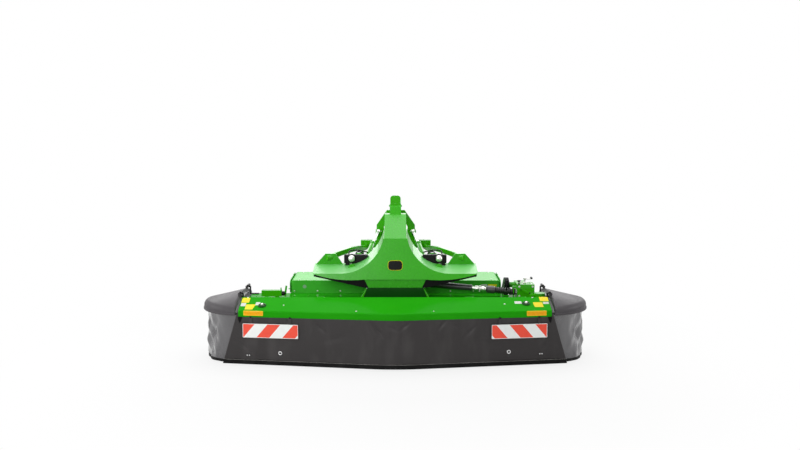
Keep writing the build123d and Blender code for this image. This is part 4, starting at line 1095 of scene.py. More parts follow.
STRAPS_AT = (-0.2, 0.2)
for side, flip in SIDES:
    sheet = bmesh.new()
    plate(sheet, rounded_box(PLATE_LENGTH / 2, PLATE_HEIGHT / 2, 0.008), 0.003,
          lip_place(PLATE_CENTRE, PLATE_MIDDLE, 0.0025), 0.0005, 1)
    make_piece(f"{side}_band_plate", sheet, "band_film", "front_hood_body",
               (f"{side}_warning_plate",), flip=flip)
    straps = bmesh.new()
    for x in STRAPS_AT:
        strap = [(-0.015, -0.125), (0.015, -0.125), (0.015, 0.066), (0.009, 0.072), (-0.009, 0.072), (-0.015, 0.066)]
        plate(straps, strap, 0.0024, lip_place(PLATE_CENTRE, PLATE_TOP) @ moved(x, 0, 0), 0.0006)
    make_piece(f"{side}_plate_straps", straps, "skirt_cloth", "front_hood_body", flip=flip)

lens = bmesh.new()
plate(lens, rounded_box(LENS_HALF, LENS_HALF_HEIGHT, 0.007), 0.008, lip_place(LENS_CENTRE, LENS_MIDDLE), 0.0022, 3)
mirrored(lens)
make_piece("reflector_lenses", lens, "orange_lens", "front_hood_body", ("reflectors",))

strap_bolts = []
for x in STRAPS_AT:
    point, way = seat(lip_place(PLATE_CENTRE, PLATE_TOP, 0.002) @ moved(x, 0.066, 0))
    for mirror in (1, -1):
        strap_bolts.append(((point.x * mirror, point.y, point.z + 0.001), (way.x * mirror, way.y, way.z)))
bolts("strap_bolts", strap_bolts, 0.006, "front_hood_body", "black_paint", "black_paint")

# %% Blank labels and plugs on the hood
def hood_place(x, share, lift=0.0):
    """Placement on the sloping top: X across, Y up the slope, Z out, a share of the way from fold to rear."""
    low, high = hood_profile(x)[-5], hood_profile(x)[-2]
    across = Vector((1, 0, 0))
    up_slope = Vector((0, high[0] - low[0], high[1] - low[1])).normalized()
    out = across.cross(up_slope)
    d = sweep(x) + (HOOD_REAR - sweep(x)) * share
    z = HOOD_FOLD + (HOOD_TOP - HOOD_FOLD) * share
    return placement(Vector((x, behind(d), z)) + out * lift, across, up_slope, out)

def flat_finish(name, colour, worn):
    """Printed film with slightly rubbed places."""
    return finish(name, "grain", specular=0.1, colour=colour, worn=worn, grain_scale=900.0, roughness=0.32)

MATERIALS["yellow_film"] = flat_finish("yellow_film", (0.78, 0.64, 0.01), (0.64, 0.5, 0.015))
MATERIALS["white_film"] = flat_finish("white_film", (0.6, 0.62, 0.58), (0.46, 0.47, 0.43))

# centre across, share up the slope, width, length up the slope
HOOD_LABELS = {"yellow_film": [(-1.514, 0.75, 0.078, 0.095), (-1.45, 0.26, 0.094, 0.1), (1.512, 0.84, 0.088, 0.085),
                               (1.439, 0.43, 0.094, 0.095)],
               "white_film": [(-1.525, 0.42, 0.05, 0.06), (-1.381, 0.5, 0.044, 0.06), (1.522, 0.55, 0.058, 0.04),
                              (1.241, 0.6, 0.07, 0.05)]}
for film, labels in HOOD_LABELS.items():
    bm = bmesh.new()
    for x, share, width, length in labels:
        plate(bm, rounded_box(width / 2, length / 2, 0.005), 0.0009, hood_place(x, share, 0.0003), 0.0002, 1)
    make_piece(f"hood_{film}", bm, film, "front_hood_body")

plugs, caps = bmesh.new(), bmesh.new()
for x, share in ((-1.331, 0.36), (1.318, 0.5)):
    place = hood_place(x, share)
    turned(plugs, [(0, 0), (0.039, 0), (0.041, 0.003), (0.037, 0.012), (0.03, 0.014), (0.022, 0.008), (0, 0.008)],
           place, 32)
    turned(caps, [(0, 0.007), (0.014, 0.007), (0.0145, 0.009), (0.013, 0.022), (0.009, 0.027), (0, 0.0285)], place, 28)
make_piece("hood_plugs", plugs, "dark_green", "front_hood_body")
make_piece("hood_plug_caps", caps, "zinc", "front_hood_body")
spots = ((-1.115, 0.42), (1.1, 0.5), (-0.38, 0.12), (0.38, 0.12), (-1.5, 0.95), (1.4, 0.95))
bolts("hood_bolts", [seat(hood_place(x, share)) for x, share in spots], 0.0055, "front_hood_body")
tabs = bmesh.new()
plate(tabs, [(-0.028, 0.0), (0.014, 0.0), (0.014, -0.022), (0.002, -0.062), (-0.004, -0.062)], 0.004,
      lip_place(1.547, 0.503, 0.001), 0.001)
mirrored(tabs)
make_piece("hood_corner_tabs", tabs, "black_paint", "front_hood_body")
print("plates, reflectors and labels made")

# %% [markdown]
# ## Suspension on the arch
# The cutting unit hangs in the arch on two pressed arms and two short cylinders, each with a
# gas accumulator whose bright domed end looks forwards out of its black clamp. The pipes
# between them are bent steel tube.

# %% Accumulators, arms and cylinders
domes, clamps, tabs, pipes = bmesh.new(), bmesh.new(), bmesh.new(), bmesh.new()
DOME_X, DOME_Z = 0.465, 0.999
face = at(DOME_X, 0.86, DOME_Z) @ FRONTWARDS
rounding = [(x, 0.036 + z) for x, z in oval(0.0365, 0.0305, 32)[:8]]
turned(domes, [(0, 0), (0.0345, 0), (0.0345, 0.026), *rounding, (0.007, 0.0665), (0.007, 0.072), (0.0045, 0.0745),
               (0, 0.0745)], face, 36)
block(clamps, (0.292, behind(0.852), 0.945), (0.548, behind(0.912), 1.036), 0.01, 3)
for x in (0.305, 0.495):
    block(clamps, (x, behind(0.856), 0.905), (x + 0.04, behind(0.908), 0.95), 0.004)
turned(clamps, [(0, 0), (0.044, 0), (0.046, 0.004), (0.046, 0.016), (0.043, 0.02), (0, 0.02)],
       face @ moved(0, 0, -0.004), 32)
plate(tabs, oval(0.042, 0.042, 24)[:13] + [(-0.042, -0.02), (0.042, -0.02)], 0.012,
      at(DOME_X - 0.006, 0.792, 0.905) @ FRONTWARDS, 0.002)
for path in ([(0.42, 0.905, 1.03), (0.42, 0.97, 1.06), (0.36, 1.02, 1.04), (0.33, 1.05, 0.98)],
             [(0.5, 0.905, 1.03), (0.5, 0.985, 1.07), (0.4, 1.06, 1.06), (0.3, 1.1, 1.03)]):
    pipe(pipes, [(x, behind(d), z) for x, d, z in path], 0.007, 12)
for bm in (domes, clamps, tabs, pipes):
    mirrored(bm)
make_piece("accumulator_domes", domes, "zinc", "frame", ("accumulators",))
make_piece("accumulator_clamps", clamps, "black_plastic", "frame")
make_piece("arch_tabs", tabs, "machine_green", "frame")
make_piece("suspension_pipes", pipes, "black_paint", "frame")

def bar(bm, points, width, height, edge=0.004):
    """A bent flat bar: its middle line, width across and height."""
    line = eased([Vector((x, behind(d), z)) for x, d, z in points], 2, 0.2)
    corners = rounded_box(width / 2, height / 2, edge, 3)
    rings = []
    for i, centre in enumerate(line):
        way = heading(line, i)
        side = way.cross(Vector(UP)).normalized()
        rings.append([centre + side * x + side.cross(way) * y for x, y in corners])
    skinned(bm, rings)

for side, flip in SIDES:
    arm = bmesh.new()
    bar(arm, [(0.7, 0.905, 0.995), (0.62, 0.98, 1.03), (0.48, 1.2, 1.052), (0.42, 1.4, 1.04), (0.36, 1.62, 1.012),
              (0.345, 1.79, 1.012)], 0.03, 0.056)
    rod(arm, (0.668, behind(0.93), 1.0), (0.735, behind(0.885), 1.0), 0.03)
    make_piece(f"{side}_arm", arm, "machine_green", "frame", (f"{side}_lower_arm",), flip=flip)

barrels, rods, eyes = bmesh.new(), bmesh.new(), bmesh.new()
low, knee, high = (0.325, behind(0.955), 0.955), (0.262, behind(1.42), 1.085), (0.205, behind(1.79), 1.19)
rod(barrels, low, knee, 0.027, 0.003, 28)
turned(barrels, [(0, -0.012), (0.031, -0.012), (0.033, -0.009), (0.033, 0.012), (0.028, 0.018), (0, 0.018)],
       along(knee, high), 28)
rod(rods, knee, high, 0.0145, 0.002, 24)
for x, y, z in (low, high):
    rod(eyes, (x - 0.03, y, z), (x + 0.03, y, z), 0.024, 0.003, 24)
    rod(eyes, (x - 0.036, y, z), (x + 0.036, y, z), 0.01, 0.002, 20)
for x in (-0.024, 0.024):
    block(barrels, (low[0] + x - 0.006, behind(0.9), 0.9), (low[0] + x + 0.006, behind(0.985), 0.985), 0.003)
    block(barrels, (high[0] + x - 0.006, behind(1.765), 1.14), (high[0] + x + 0.006, behind(1.812), 1.216), 0.003)
for bm in (barrels, rods, eyes):
    mirrored(bm)
make_piece("lift_barrels", barrels, "machine_green", "frame")
make_piece("lift_rods", rods, "chrome", "frame")
make_piece("lift_eyes", eyes, "zinc", "frame")
print("suspension: arms, accumulators and cylinders made")

# %% Blank badge on the arch
FACE_LEAN = math.radians(14)                   # the arch's face leans back by this angle
badge_low, badge_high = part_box("face_badge")
up_face = Vector((0, math.sin(FACE_LEAN), math.cos(FACE_LEAN)))
badge_place = placement(Vector((0, behind(0.615), 0.805)) + up_face * 0.15, (1, 0, 0), up_face,
                        Vector((1, 0, 0)).cross(up_face))
rim, badge = bmesh.new(), bmesh.new()
plate(rim, rounded_box(0.077, 0.052, 0.044, 9), 0.0042, badge_place @ moved(0, 0, 0.0002), 0.0012)
plate(badge, rounded_box(0.0735, 0.0485, 0.041, 9), 0.0052, badge_place @ moved(0, 0, 0.0004), 0.0012)
make_piece("arch_badge_rim", rim, "yellow_film", "frame", ("face_badge",))
make_piece("arch_badge", badge, "black_paint", "frame")
print("arch badge: blank,", round(badge_high[0] - badge_low[0], 3), "wide")

# %% [markdown]
# ## Side drive and controls
# A shaft runs from the middle gearbox to the outer disc. It turns inside a plastic guard, its
# yoke shows for a hand's width, and a ribbed rubber bellows seals the far end. The bellows is
# one profile: a ring line that swells and narrows, run round its axis by a tree.

# %% Bellows and shaft
DRIVE_START = Vector((0.14, behind(0.925), 0.728))
DRIVE_END = Vector((1.285, behind(0.757), 0.653))

def drive_point(share):
    """A place on the side drive's axis, from the gearbox (0) to the outer end (1)."""
    return DRIVE_START.lerp(DRIVE_END, share)

def bellows_tree():
    """A tube along its seed line whose radius swells and narrows once for every ring."""
    tree, given = repeat_tree("bellows_rings", {"Rings": 9, "Radius": 0.03, "Swell": 0.006, "Steps Per Ring": 8})
    line = step(tree, "GeometryNodeMeshToCurve", {"Mesh": given["Geometry"]})
    count = sums(tree, "ADD", sums(tree, "MULTIPLY", given["Rings"], given["Steps Per Ring"]), 1.0)
    fine = step(tree, "GeometryNodeResampleCurve", {"Curve": line.outputs[0], "Count": count})
    share = step(tree, "GeometryNodeSplineParameter").outputs["Factor"]
    turns = sums(tree, "MULTIPLY", sums(tree, "MULTIPLY", share, given["Rings"]), math.tau)
    wave = sums(tree, "MULTIPLY", sums(tree, "COSINE", turns), given["Swell"])
    wide = sums(tree, "SUBTRACT", given["Radius"], wave)
    ring = step(tree, "GeometryNodeCurvePrimitiveCircle", {"Resolution": 32, "Radius": 1.0})
    skin = step(tree, "GeometryNodeCurveToMesh", {"Curve": fine.outputs[0], "Profile Curve": ring.outputs[0],
                                                  "Scale": wide, "Fill Caps": True})
    return finish_tree(tree, skin, given)

seed = bmesh.new()
seed.edges.new([seed.verts.new(drive_point(s)) for s in (0.806, 0.992)])
grown("drive_bellows_rings", seed, bellows_tree(), {"Rings": 9, "Radius": 0.0315, "Swell": 0.0055, "Steps Per Ring": 8},
      "rubber", "frame", "bellows_rubber", ("drive_bellows",), smooth=80)

tube, yoke = bmesh.new(), bmesh.new()
place = along(drive_point(0), drive_point(1))
length = (DRIVE_END - DRIVE_START).length
turned(tube, [(0, 0.0), (0.046, 0.0), (0.048, 0.004), (0.048, 0.05), (0.043, 0.058), (0.038, 0.07), (0.035, 0.3),
              (0.031, 0.57 * length), (0.034, 0.575 * length), (0.034, 0.59 * length), (0.03, 0.594 * length),
              (0, 0.594 * length)], place, 32)
turned(tube, [(0, 0.72 * length), (0.024, 0.72 * length), (0.038, 0.735 * length), (0.04, 0.79 * length),
              (0.034, 0.806 * length), (0, 0.806 * length)], place, 32)
make_piece("drive_sleeve", tube, "sleeve_plastic", "frame", ("drive_guard",))
turned(yoke, [(0, 0.58 * length), (0.019, 0.58 * length), (0.019, 0.615 * length), (0.027, 0.625 * length),
              (0.027, 0.65 * length), (0.018, 0.655 * length), (0.018, 0.675 * length), (0.027, 0.68 * length),
              (0.027, 0.705 * length), (0.02, 0.712 * length), (0.02, 0.73 * length), (0, 0.73 * length)], place, 28)
middle = place @ moved(0, 0, 0.665 * length)
for turn in (0, math.pi / 2):
    turned(yoke, [(0, -0.031), (0.01, -0.031), (0.011, -0.03), (0.011, 0.03), (0.01, 0.031), (0, 0.031)],
           middle @ Matrix.Rotation(turn, 4, "Z") @ FRONTWARDS, 16)
make_piece("drive_yoke", yoke, "zinc", "frame", ("drive_tube",))

# %% Crank, stop knob and levers
CRANK_PLACE, CRANK_FOOT = (1.372, 0.765), 0.742     # X and distance behind the nose; height of the gearbox's lid
crank = at(*CRANK_PLACE, CRANK_FOOT)
hub, grip = bmesh.new(), bmesh.new()
turned(hub, [(0, 0), (0.021, 0), (0.022, 0.002), (0.022, 0.012), (0.012, 0.016), (0.009, 0.018), (0.009, 0.04),
             (0.014, 0.043), (0.015, 0.058), (0.012, 0.061), (0, 0.061)], crank, 24)
bar_outline = rounded_outline([(-0.013, -0.009), (0.08, -0.008), (0.08, 0.008), (-0.013, 0.009)], 0.007)
plate(hub, bar_outline, 0.007, crank @ moved(0, 0, 0.045), 0.001)
turned(grip, [(0, 0), (0.0085, 0), (0.0105, 0.003), (0.0115, 0.02), (0.0105, 0.052), (0.0085, 0.06), (0, 0.062)],
       crank @ moved(0.07, 0.03, 0.058) @ FRONTWARDS, 20)
make_piece("crank_arm", hub, "zinc", "frame", ("crank",))
make_piece("crank_grip", grip, "black_plastic", "frame")
knob = bmesh.new()
turned(knob, [(0, 0), (0.013, 0), (0.013, 0.006), (0.0065, 0.009), (0.0065, 0.024), (0.017, 0.028), (0.0205, 0.033),
              (0.0195, 0.039), (0.012, 0.042), (0, 0.0425)], at(1.305, 0.72, CRANK_FOOT), 24)
make_piece("stop_knob_cap", knob, "black_plastic", "frame", ("stop_knob",))

levers, links = bmesh.new(), bmesh.new()
rod(levers, (1.235, behind(0.735), 0.708), (1.455, behind(0.735), 0.708), 0.011)
for x in (1.25, 1.345, 1.44):
    block(levers, (x - 0.005, behind(0.722), 0.6), (x + 0.005, behind(0.75), 0.72), 0.002)
bar(levers, [(1.27, 0.7, 0.705), (1.33, 0.69, 0.68), (1.46, 0.685, 0.645)], 0.01, 0.026, 0.002)
bar(levers, [(1.31, 0.675, 0.7), (1.38, 0.672, 0.66), (1.5, 0.67, 0.62)], 0.01, 0.022, 0.002)
rod(links, (1.32, behind(0.665), 0.69), (1.32, behind(0.75), 0.69), 0.007)
rod(links, (1.41, behind(0.66), 0.655), (1.41, behind(0.745), 0.655), 0.007)
rod(links, (1.205, behind(0.72), 0.632), (1.47, behind(0.69), 0.66), 0.006)
pipe(links, [(1.19, behind(0.76), 0.62), (1.172, behind(0.74), 0.72), (1.165, behind(0.75), 0.772),
             (1.195, behind(0.76), 0.772), (1.205, behind(0.77), 0.7), (1.235, behind(0.78), 0.64)], 0.0055, 12)
make_piece("side_levers", levers, "machine_green", "frame")
make_piece("side_links", links, "black_paint", "frame")
lever, roller = bmesh.new(), bmesh.new()
for start, end, *sizes in ((-1.198, -1.172, 0.024, 0.003, 24), (-1.172, -1.157, 0.012, 0.002, 20)):
    rod(roller, (start, behind(0.735), 0.64), (end, behind(0.735), 0.64), *sizes)
bar(lever, [(-1.165, 0.735, 0.606), (-1.16, 0.735, 0.66), (-1.15, 0.735, 0.722)], 0.008, 0.02, 0.002)
make_piece("left_roller", roller, "black_plastic", "frame")
make_piece("left_lever", lever, "machine_green", "frame")
softened("side_box", 0.004, "machine_green")
caps = [((x, behind(0.69) - 0.001, z), (0, -1, 0)) for x in (1.305, 1.445) for z in (0.62, 0.72)]
caps += [((x, behind(d), CRANK_FOOT + 0.001), UP) for x in (1.34, 1.435) for d in (0.705, 0.825)]
bolts("side_gear_bolts", caps, 0.008)
print("side drive and controls made")

# %% [markdown]
# ## Cutterbar and discs
# Eight oval discs turn on a flat oil-filled bar, each with two loose knives held by a bolt.
# Neighbours stand at right angles, so the knives sweep past each other. The two outer discs
# carry tall cones that push the crop inwards. A disc is a stack of rings that shrink towards
# the middle, and its cap and cone are turned shapes.

# %% Discs
DISC_LINE = behind(0.62)

def oval_plate(bm, half_length, half_width, low, high, place):
    """The dished oval of a disc, thin at its rim."""
    profile = [(0.9, low), (0.985, low + 0.0008), (1.0, low + 0.0025), (0.995, low + 0.0045), (0.95, high - 0.001),
               (0.8, high), (0.5, high)]
    skinned(bm, [[(*point, z) for point in oval(half_length * share, half_width * share, 56)]
                 for share, z in profile], place)

def cone_ribs(bm, place, count=4):
    """Upright ribs that drive the crop round with the tall cone."""
    outline = [(0.105, 0.13), (0.1345, 0.13), (0.1345, 0.14), (0.106, 0.297), (0.085, 0.297)]
    for i in range(count):
        turn = Matrix.Rotation(math.tau * (i + 0.5) / count, 4, "Z")
        plate(bm, outline, 0.008, place @ turn @ moved(0, 0.004, 0) @ FRONTWARDS)

for number in range(1, 9):
    low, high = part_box(f"disc_{number}")
    middle = (low[0] + high[0]) / 2
    outermost = number in (1, 8)
    place = moved(middle, DISC_LINE, 0) @ Matrix.Rotation(math.pi / 2 * (number % 2), 4, "Z")
    disc, knives = bmesh.new(), bmesh.new()
    oval_plate(disc, 0.2, 0.15, 0.11, 0.118, place)
    turned(disc, [(0, 0.104), (0.059, 0.104), (0.06, 0.105), (0.06, 0.111), (0, 0.111)], place, 32)
    if outermost:
        turned(disc, [(0, 0.1175), (0.133, 0.1175), (0.135, 0.121), (0.13, 0.127), (0.116, 0.2), (0.107, 0.27),
                      (0.104, 0.3), (0.099, 0.307), (0.09, 0.308), (0.05, 0.304), (0, 0.304)], place, 48)
        cone_ribs(disc, place)
    else:
        turned(disc, [(0, 0.1175), (0.093, 0.1175), (0.095, 0.119), (0.095, 0.123), (0.088, 0.126), (0.068, 0.138),
                      (0.053, 0.148), (0.047, 0.151), (0.03, 0.152), (0.024, 0.149), (0, 0.149)], place, 40)
    if number == 8:      # the shaft from the side gearbox comes down into this disc
        turned(disc, [(0, 0.3), (0.022, 0.3), (0.022, 0.5897), (0, 0.5897)], place, 24)
    blade = rounded_outline([(0.147, -0.022), (0.238, -0.022), (0.2495, -0.012), (0.2495, 0.02), (0.24, 0.0225),
                             (0.147, 0.022)], 0.006, 4)
    for end in (0, math.pi):
        plate(knives, blade, 0.0055, place @ Matrix.Rotation(end, 4, "Z") @ moved(0, 0, 0.1043), 0.0012)
    body = f"disc_{number}_body"
    make_piece(f"disc_{number}_plate", disc, "bare_steel", body, (f"disc_{number}",), smooth=40)
    make_piece(f"disc_{number}_knives", knives, "grey_steel", body)
    heads = [(place @ Vector((s * 0.168, 0, 0.1178)), UP) for s in (-1, 1)]
    if not outermost:
        heads += [(place @ Vector((0.036 * math.cos(a), 0.036 * math.sin(a), 0.1515)), UP)
                  for a in [math.tau * k / 4 + 0.4 for k in range(4)]]
    bolts(f"disc_{number}_bolts", heads, 0.0105, body, "disc_steel", "zinc")

# %% Bar, skids and end supports
low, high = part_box("cutterbar")
softened("cutterbar", 0.0025, "grey_steel", angle=40)
softened("skid_shoes", 0.003, "bare_steel")
row = [low[0] + 0.06 + (high[0] - low[0] - 0.12) * i / 15 for i in range(16)]
bolts("bar_bolts", [((x, DISC_LINE + 0.083, 0.0975), UP) for x in row], 0.0095, "frame", "disc_steel", "bare_steel")
for side, way in WAYS:
    softened(f"{side}_end_support", 0.002, "machine_green")
    face = outer_face(f"{side}_end_support") - 0.0005
    places = [((way * face, behind(d), z), (way, 0, 0))
              for d, z in ((0.56, 0.07), (0.68, 0.07), (0.725, 0.515), (0.725, 0.565), (0.795, 0.51))]
    bolts(f"{side}_support_bolts", places, 0.011)
print("cutterbar:", round(high[0] - low[0], 3), "long, with 8 discs")

# %% [markdown]
# ## Top of the header
# A steel deck closes the header behind the hood. The hood swings on welded lugs with a pin,
# and the side guards on slim black straps. Edges and bolt heads are all such plates need.

# %% Deck and hinges
softened("deck", 0.0012, "hood_green")
softened("hood_hinges", 0.0015, "machine_green")
softened("guard_hinges", 0.0012, "black_paint")
DECK_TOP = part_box("deck")[1][2]
heads = [((x, behind(d), DECK_TOP - 0.0002), UP) for d in (0.705, 0.815)
         for x in (-1.48, -1.1, -0.93, -0.62, 0.62, 0.93)]
heads += [((x + side, behind(0.515), DECK_TOP + 0.0058), UP) for x in HINGE_PLACES for side in (-0.042, 0.042)]
bolts("deck_bolts", heads, 0.0065, "frame", "machine_green", "machine_green")
lips = bmesh.new()
for x in (0.5, 0.85, 1.2):
    for line in (behind(0.6), behind(0.645)):
        block(lips, (x - 0.15, line - 0.004, DECK_TOP - 0.001), (x + 0.15, line + 0.004, DECK_TOP + 0.004), 0.0015)
mirrored(lips)
make_piece("deck_ribs", lips, "machine_green", "frame")
print("deck and hinges ready")

# %% [markdown]
# ## Conditioner
# Behind the discs a rotor with four rows of bent steel tines scuffs the cut grass, so that it
# dries sooner, and throws it back between two swath plates. All tines are alike, so a tree
# makes one, tapered and bent, with its bracket, and stands it at every place along the tube.

# %% Tines
def tine_tree():
    """A tine in its bracket at every point, standing along the point's facing and square to X."""
    tree, given = repeat_tree("rotor_tines", {"Length": 0.2, "Width": 0.012, "Depth": 0.034, "Taper": 0.5,
                                              "Bend": 0.01})
    length = given["Length"]
    size = step(tree, "ShaderNodeCombineXYZ", {"X": given["Width"], "Y": given["Depth"], "Z": length})
    finger = step(tree, "GeometryNodeMeshCube", {"Size": size.outputs[0], "Vertices X": 2, "Vertices Y": 2,
                                                 "Vertices Z": 7})
    spot = step(tree, "ShaderNodeSeparateXYZ", {"Vector": step(tree, "GeometryNodeInputPosition").outputs[0]})
    share = sums(tree, "ADD", sums(tree, "DIVIDE", spot.outputs["Z"], length), 0.5)
    narrow = sums(tree, "SUBTRACT", 1.0, sums(tree, "MULTIPLY", share, given["Taper"]))
    bent = sums(tree, "MULTIPLY", sums(tree, "MULTIPLY", share, share), given["Bend"])
    across = sums(tree, "ADD", sums(tree, "MULTIPLY", spot.outputs["Y"], narrow), bent)
    up = sums(tree, "MULTIPLY", share, length)
    shaped = step(tree, "ShaderNodeCombineXYZ", {"X": spot.outputs["X"], "Y": across, "Z": up})
    tine = step(tree, "GeometryNodeSetPosition", {"Geometry": finger.outputs[0], "Position": shaped.outputs[0]})
    foot = step(tree, "GeometryNodeMeshCube", {"Size": (0.034, 0.052, 0.012)})
    ears = step(tree, "GeometryNodeMeshCube", {"Size": (0.026, 0.042, 0.03)})
    pin = step(tree, "GeometryNodeMeshCylinder", {"Vertices": 8, "Radius": 0.006, "Depth": 0.036})
    feet = step(tree, "GeometryNodeTransform", {"Geometry": foot.outputs[0], "Translation": (0, 0, 0.006)})
    eared = step(tree, "GeometryNodeTransform", {"Geometry": ears.outputs[0], "Translation": (0, 0, 0.018)})
    pinned = step(tree, "GeometryNodeTransform", {"Geometry": pin.outputs[0], "Translation": (0, 0, 0.021),
                                                  "Rotation": (0, math.pi / 2, 0)})
    points = step(tree, "GeometryNodeMeshToPoints", {"Mesh": given["Geometry"]})
    copies = copied_to(tree, points, (tine, feet, eared, pinned), stood_along_facing(tree, pivot_axis="X"))
    return finish_tree(tree, copies, given)

ROTOR = Vector((0, behind(1.25), 0.4))
SHAFT_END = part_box("tine_rotor")[1][0]
ROTOR_HALF = SHAFT_END - 0.052
ROWS, TINES_A_ROW = 4, 16
spots = []
for row in range(ROWS):
    turn = math.radians(45 + 90 * row)
    out = Vector((0, -math.sin(turn), math.cos(turn)))
    for i in range(TINES_A_ROW):
        x = -ROTOR_HALF + 0.045 + ((row % 2) * ROTOR_HALF + i * (2 * ROTOR_HALF - 0.09)) / TINES_A_ROW
        spots.append((Vector((x, ROTOR.y, ROTOR.z)) + out * 0.073, out))
grown("rotor_tines", facing_points(spots), tine_tree(), {"Length": 0.2, "Width": 0.012, "Depth": 0.034, "Taper": 0.5,
                                                         "Bend": 0.01}, "grey_steel", "rotor_body", "rotor_steel")
tube = bmesh.new()
H, E = ROTOR_HALF, SHAFT_END
turned(tube, [(0, -E), (0.023, -E), (0.025, 0.002 - E), (0.025, -H), (0.078, -H), (0.08, 0.002 - H), (0.08, 0.01 - H),
              (0.0745, 0.012 - H), (0.0745, H - 0.012), (0.08, H - 0.01), (0.08, H - 0.002), (0.078, H), (0.025, H),
              (0.025, E - 0.002), (0.023, E), (0, E)], Matrix.Translation(ROTOR) @ SIDEWAYS, 48)
make_piece("rotor_tube", tube, "grey_steel", "rotor_body", ("tine_rotor",))

# %% Side walls and drive case
def circle_of(middle, radius, count, way, start=0.3):
    """Places round a circle square to X."""
    return [((middle[0], middle[1] + radius * math.cos(a), middle[2] + radius * math.sin(a)), way)
            for a in [math.tau * k / count + start for k in range(count)]]

for side, way in WAYS:
    softened(f"{side}_conditioner_wall", 0.0014, "machine_green", angle=40)
    face = outer_face(f"{side}_conditioner_wall")
    heads = circle_of((way * face, ROTOR.y, ROTOR.z), 0.048, 6, (way, 0, 0))
    heads += [((way * (face - 0.022), behind(d), z), (way, 0, 0)) for d, z in
              ((0.94, 0.2), (0.94, 0.5), (1.1, 0.63), (1.25, 0.64), (1.4, 0.64), (1.58, 0.55), (1.58, 0.36))]
    bolts(f"{side}_wall_bolts", heads, 0.009)
softened("conditioner_drive_case", 0.004, "black_paint", angle=40)
CASE_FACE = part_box("conditioner_drive_case")[1][0]
UPPER_WHEEL, LOWER_WHEEL = (0.93, 0.7), (1.25, 0.4)      # distance behind the nose, height
cover = bmesh.new()
for (d, z), r in ((UPPER_WHEEL, 0.05), (LOWER_WHEEL, 0.072)):
    turned(cover, [(0, 0), (r, 0), (r + 0.001, 0.002), (r - 0.003, 0.008), (r * 0.55, 0.01), (r * 0.5, 0.014),
                   (0, 0.015)], at(CASE_FACE - 0.001, d, z) @ SIDEWAYS, 36)
upper, lower = (Vector((CASE_FACE, behind(d), z)) for d, z in (UPPER_WHEEL, LOWER_WHEEL))
way = (lower - upper).normalized()
side = Vector((0, way.z, -way.y))
for shift in (-0.035, 0.035):
    start = upper + Vector((-0.002, 0, 0)) + way * 0.06 + side * shift
    rod(cover, start, start + way * 0.3, 0.006, 0.002, 12)
make_piece("drive_case_cover", cover, "black_paint", "frame")
rim = [(upper.lerp(lower, t) + Vector((-0.0002, 0, 0)) + side * edge * (0.068 + 0.028 * t), (1, 0, 0))
       for t in [k / 8 for k in range(9)] for edge in (1, -1)]
bolts("drive_case_bolts", rim, 0.0075)
print("conditioner rotor:", round(2 * ROTOR_HALF, 3), "long with", ROWS * TINES_A_ROW, "tines")

# %% Swath plates
SWATH_TOE = 18      # degrees by which the plates turn inwards
for side, way in WAYS:
    place = at(way * 1.06, 1.64, 0.17) @ Matrix.Rotation(math.radians(SWATH_TOE * way), 4, "Z")

    def ribs(bm, place=place):
        for z in (0.06, 0.2, 0.34):
            block(bm, (-0.0075, 0.02, z - 0.012), (0.0075, 0.315, z + 0.012), place=place)
        block(bm, (-0.006, 0.328, 0.004), (0.006, 0.3395, 0.384), place=place)

    softened(f"{side}_swath_plate", 0.001, "black_paint", angle=40, extra=ribs)
softened("swath_hinges", 0.0018, "machine_green")
print("swath plates ready")

# %% [markdown]
# ## Housing
# The big green hood of the conditioner is pressed sheet. Its ends are closed by flanged plates
# that stand a little proud, and small bolts hold its top. Round and square stickers are blank.

# %% Housing ends and top
HOUSING_END, HOUSING_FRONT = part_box("conditioner_housing")[1][0], behind(1.0) - 0.0003
TOP_EDGE, TOP_RISE, TOP_DEPTH = 0.735, 0.025, 0.45      # the top climbs this much over its depth
MATERIALS["grey_film"] = flat_finish("grey_film", (0.22, 0.4, 0.24), (0.12, 0.3, 0.12))
ends, stickers = bmesh.new(), bmesh.new()
outline = [(0.996, 0.6), (0.996, 0.7), (1.02, 0.726), (1.05, 0.7365), (1.42, 0.7575), (1.455, 0.748), (1.47, 0.735),
           (1.596, 0.61), (1.596, 0.6)]
turn = Matrix(((0, 0, 1), (-1, 0, 0), (0, 1, 0))).to_4x4()
plate(ends, [(-behind(d), z) for d, z in outline], 0.006, moved(HOUSING_END - 0.001, 0, 0) @ turn)
for d, z in ((1.0, 0.66), (1.2, 0.745), (1.4, 0.755), (1.53, 0.675)):
    block(ends, (HOUSING_END - 0.002, behind(d) - 0.02, z - 0.018), (HOUSING_END + 0.018, behind(d) + 0.02, z - 0.012),
          0.0015)
mirrored(ends)
make_piece("housing_ends", ends, "housing_green", "frame")
turned(stickers, [(0, 0), (0.021, 0), (0.021, 0.0009), (0, 0.0009)],
       moved(-0.99, HOUSING_FRONT, 0.667) @ FRONTWARDS, 32)
make_piece("housing_sticker", stickers, "grey_film", "frame")
for film, x, half in (("white_film", 0.965, 0.034), ("yellow_film", 1.056, 0.046)):
    label = bmesh.new()
    plate(label, rounded_box(half, 0.012, 0.003), 0.0009, moved(x, HOUSING_FRONT, 0.68) @ FRONTWARDS, 0.0002, 1)
    make_piece(f"housing_{film}", label, film, "frame")
heads = [((x, behind(1.0) - 0.0002, 0.62), (0, -1, 0)) for x in (-1.1, -0.85, -0.6, 0.6, 0.85, 1.1)]
slope = Vector((0, -TOP_RISE / TOP_DEPTH, 1))
for x in (-1.05, -0.7, -0.35, 0.35, 0.7, 1.05):
    heads += [((x, behind(d), TOP_EDGE + TOP_RISE * (d - 1.0) / TOP_DEPTH - 0.0002), slope) for d in (1.06, 1.4)]
bolts("housing_bolts", heads, 0.006)
seams = bmesh.new()
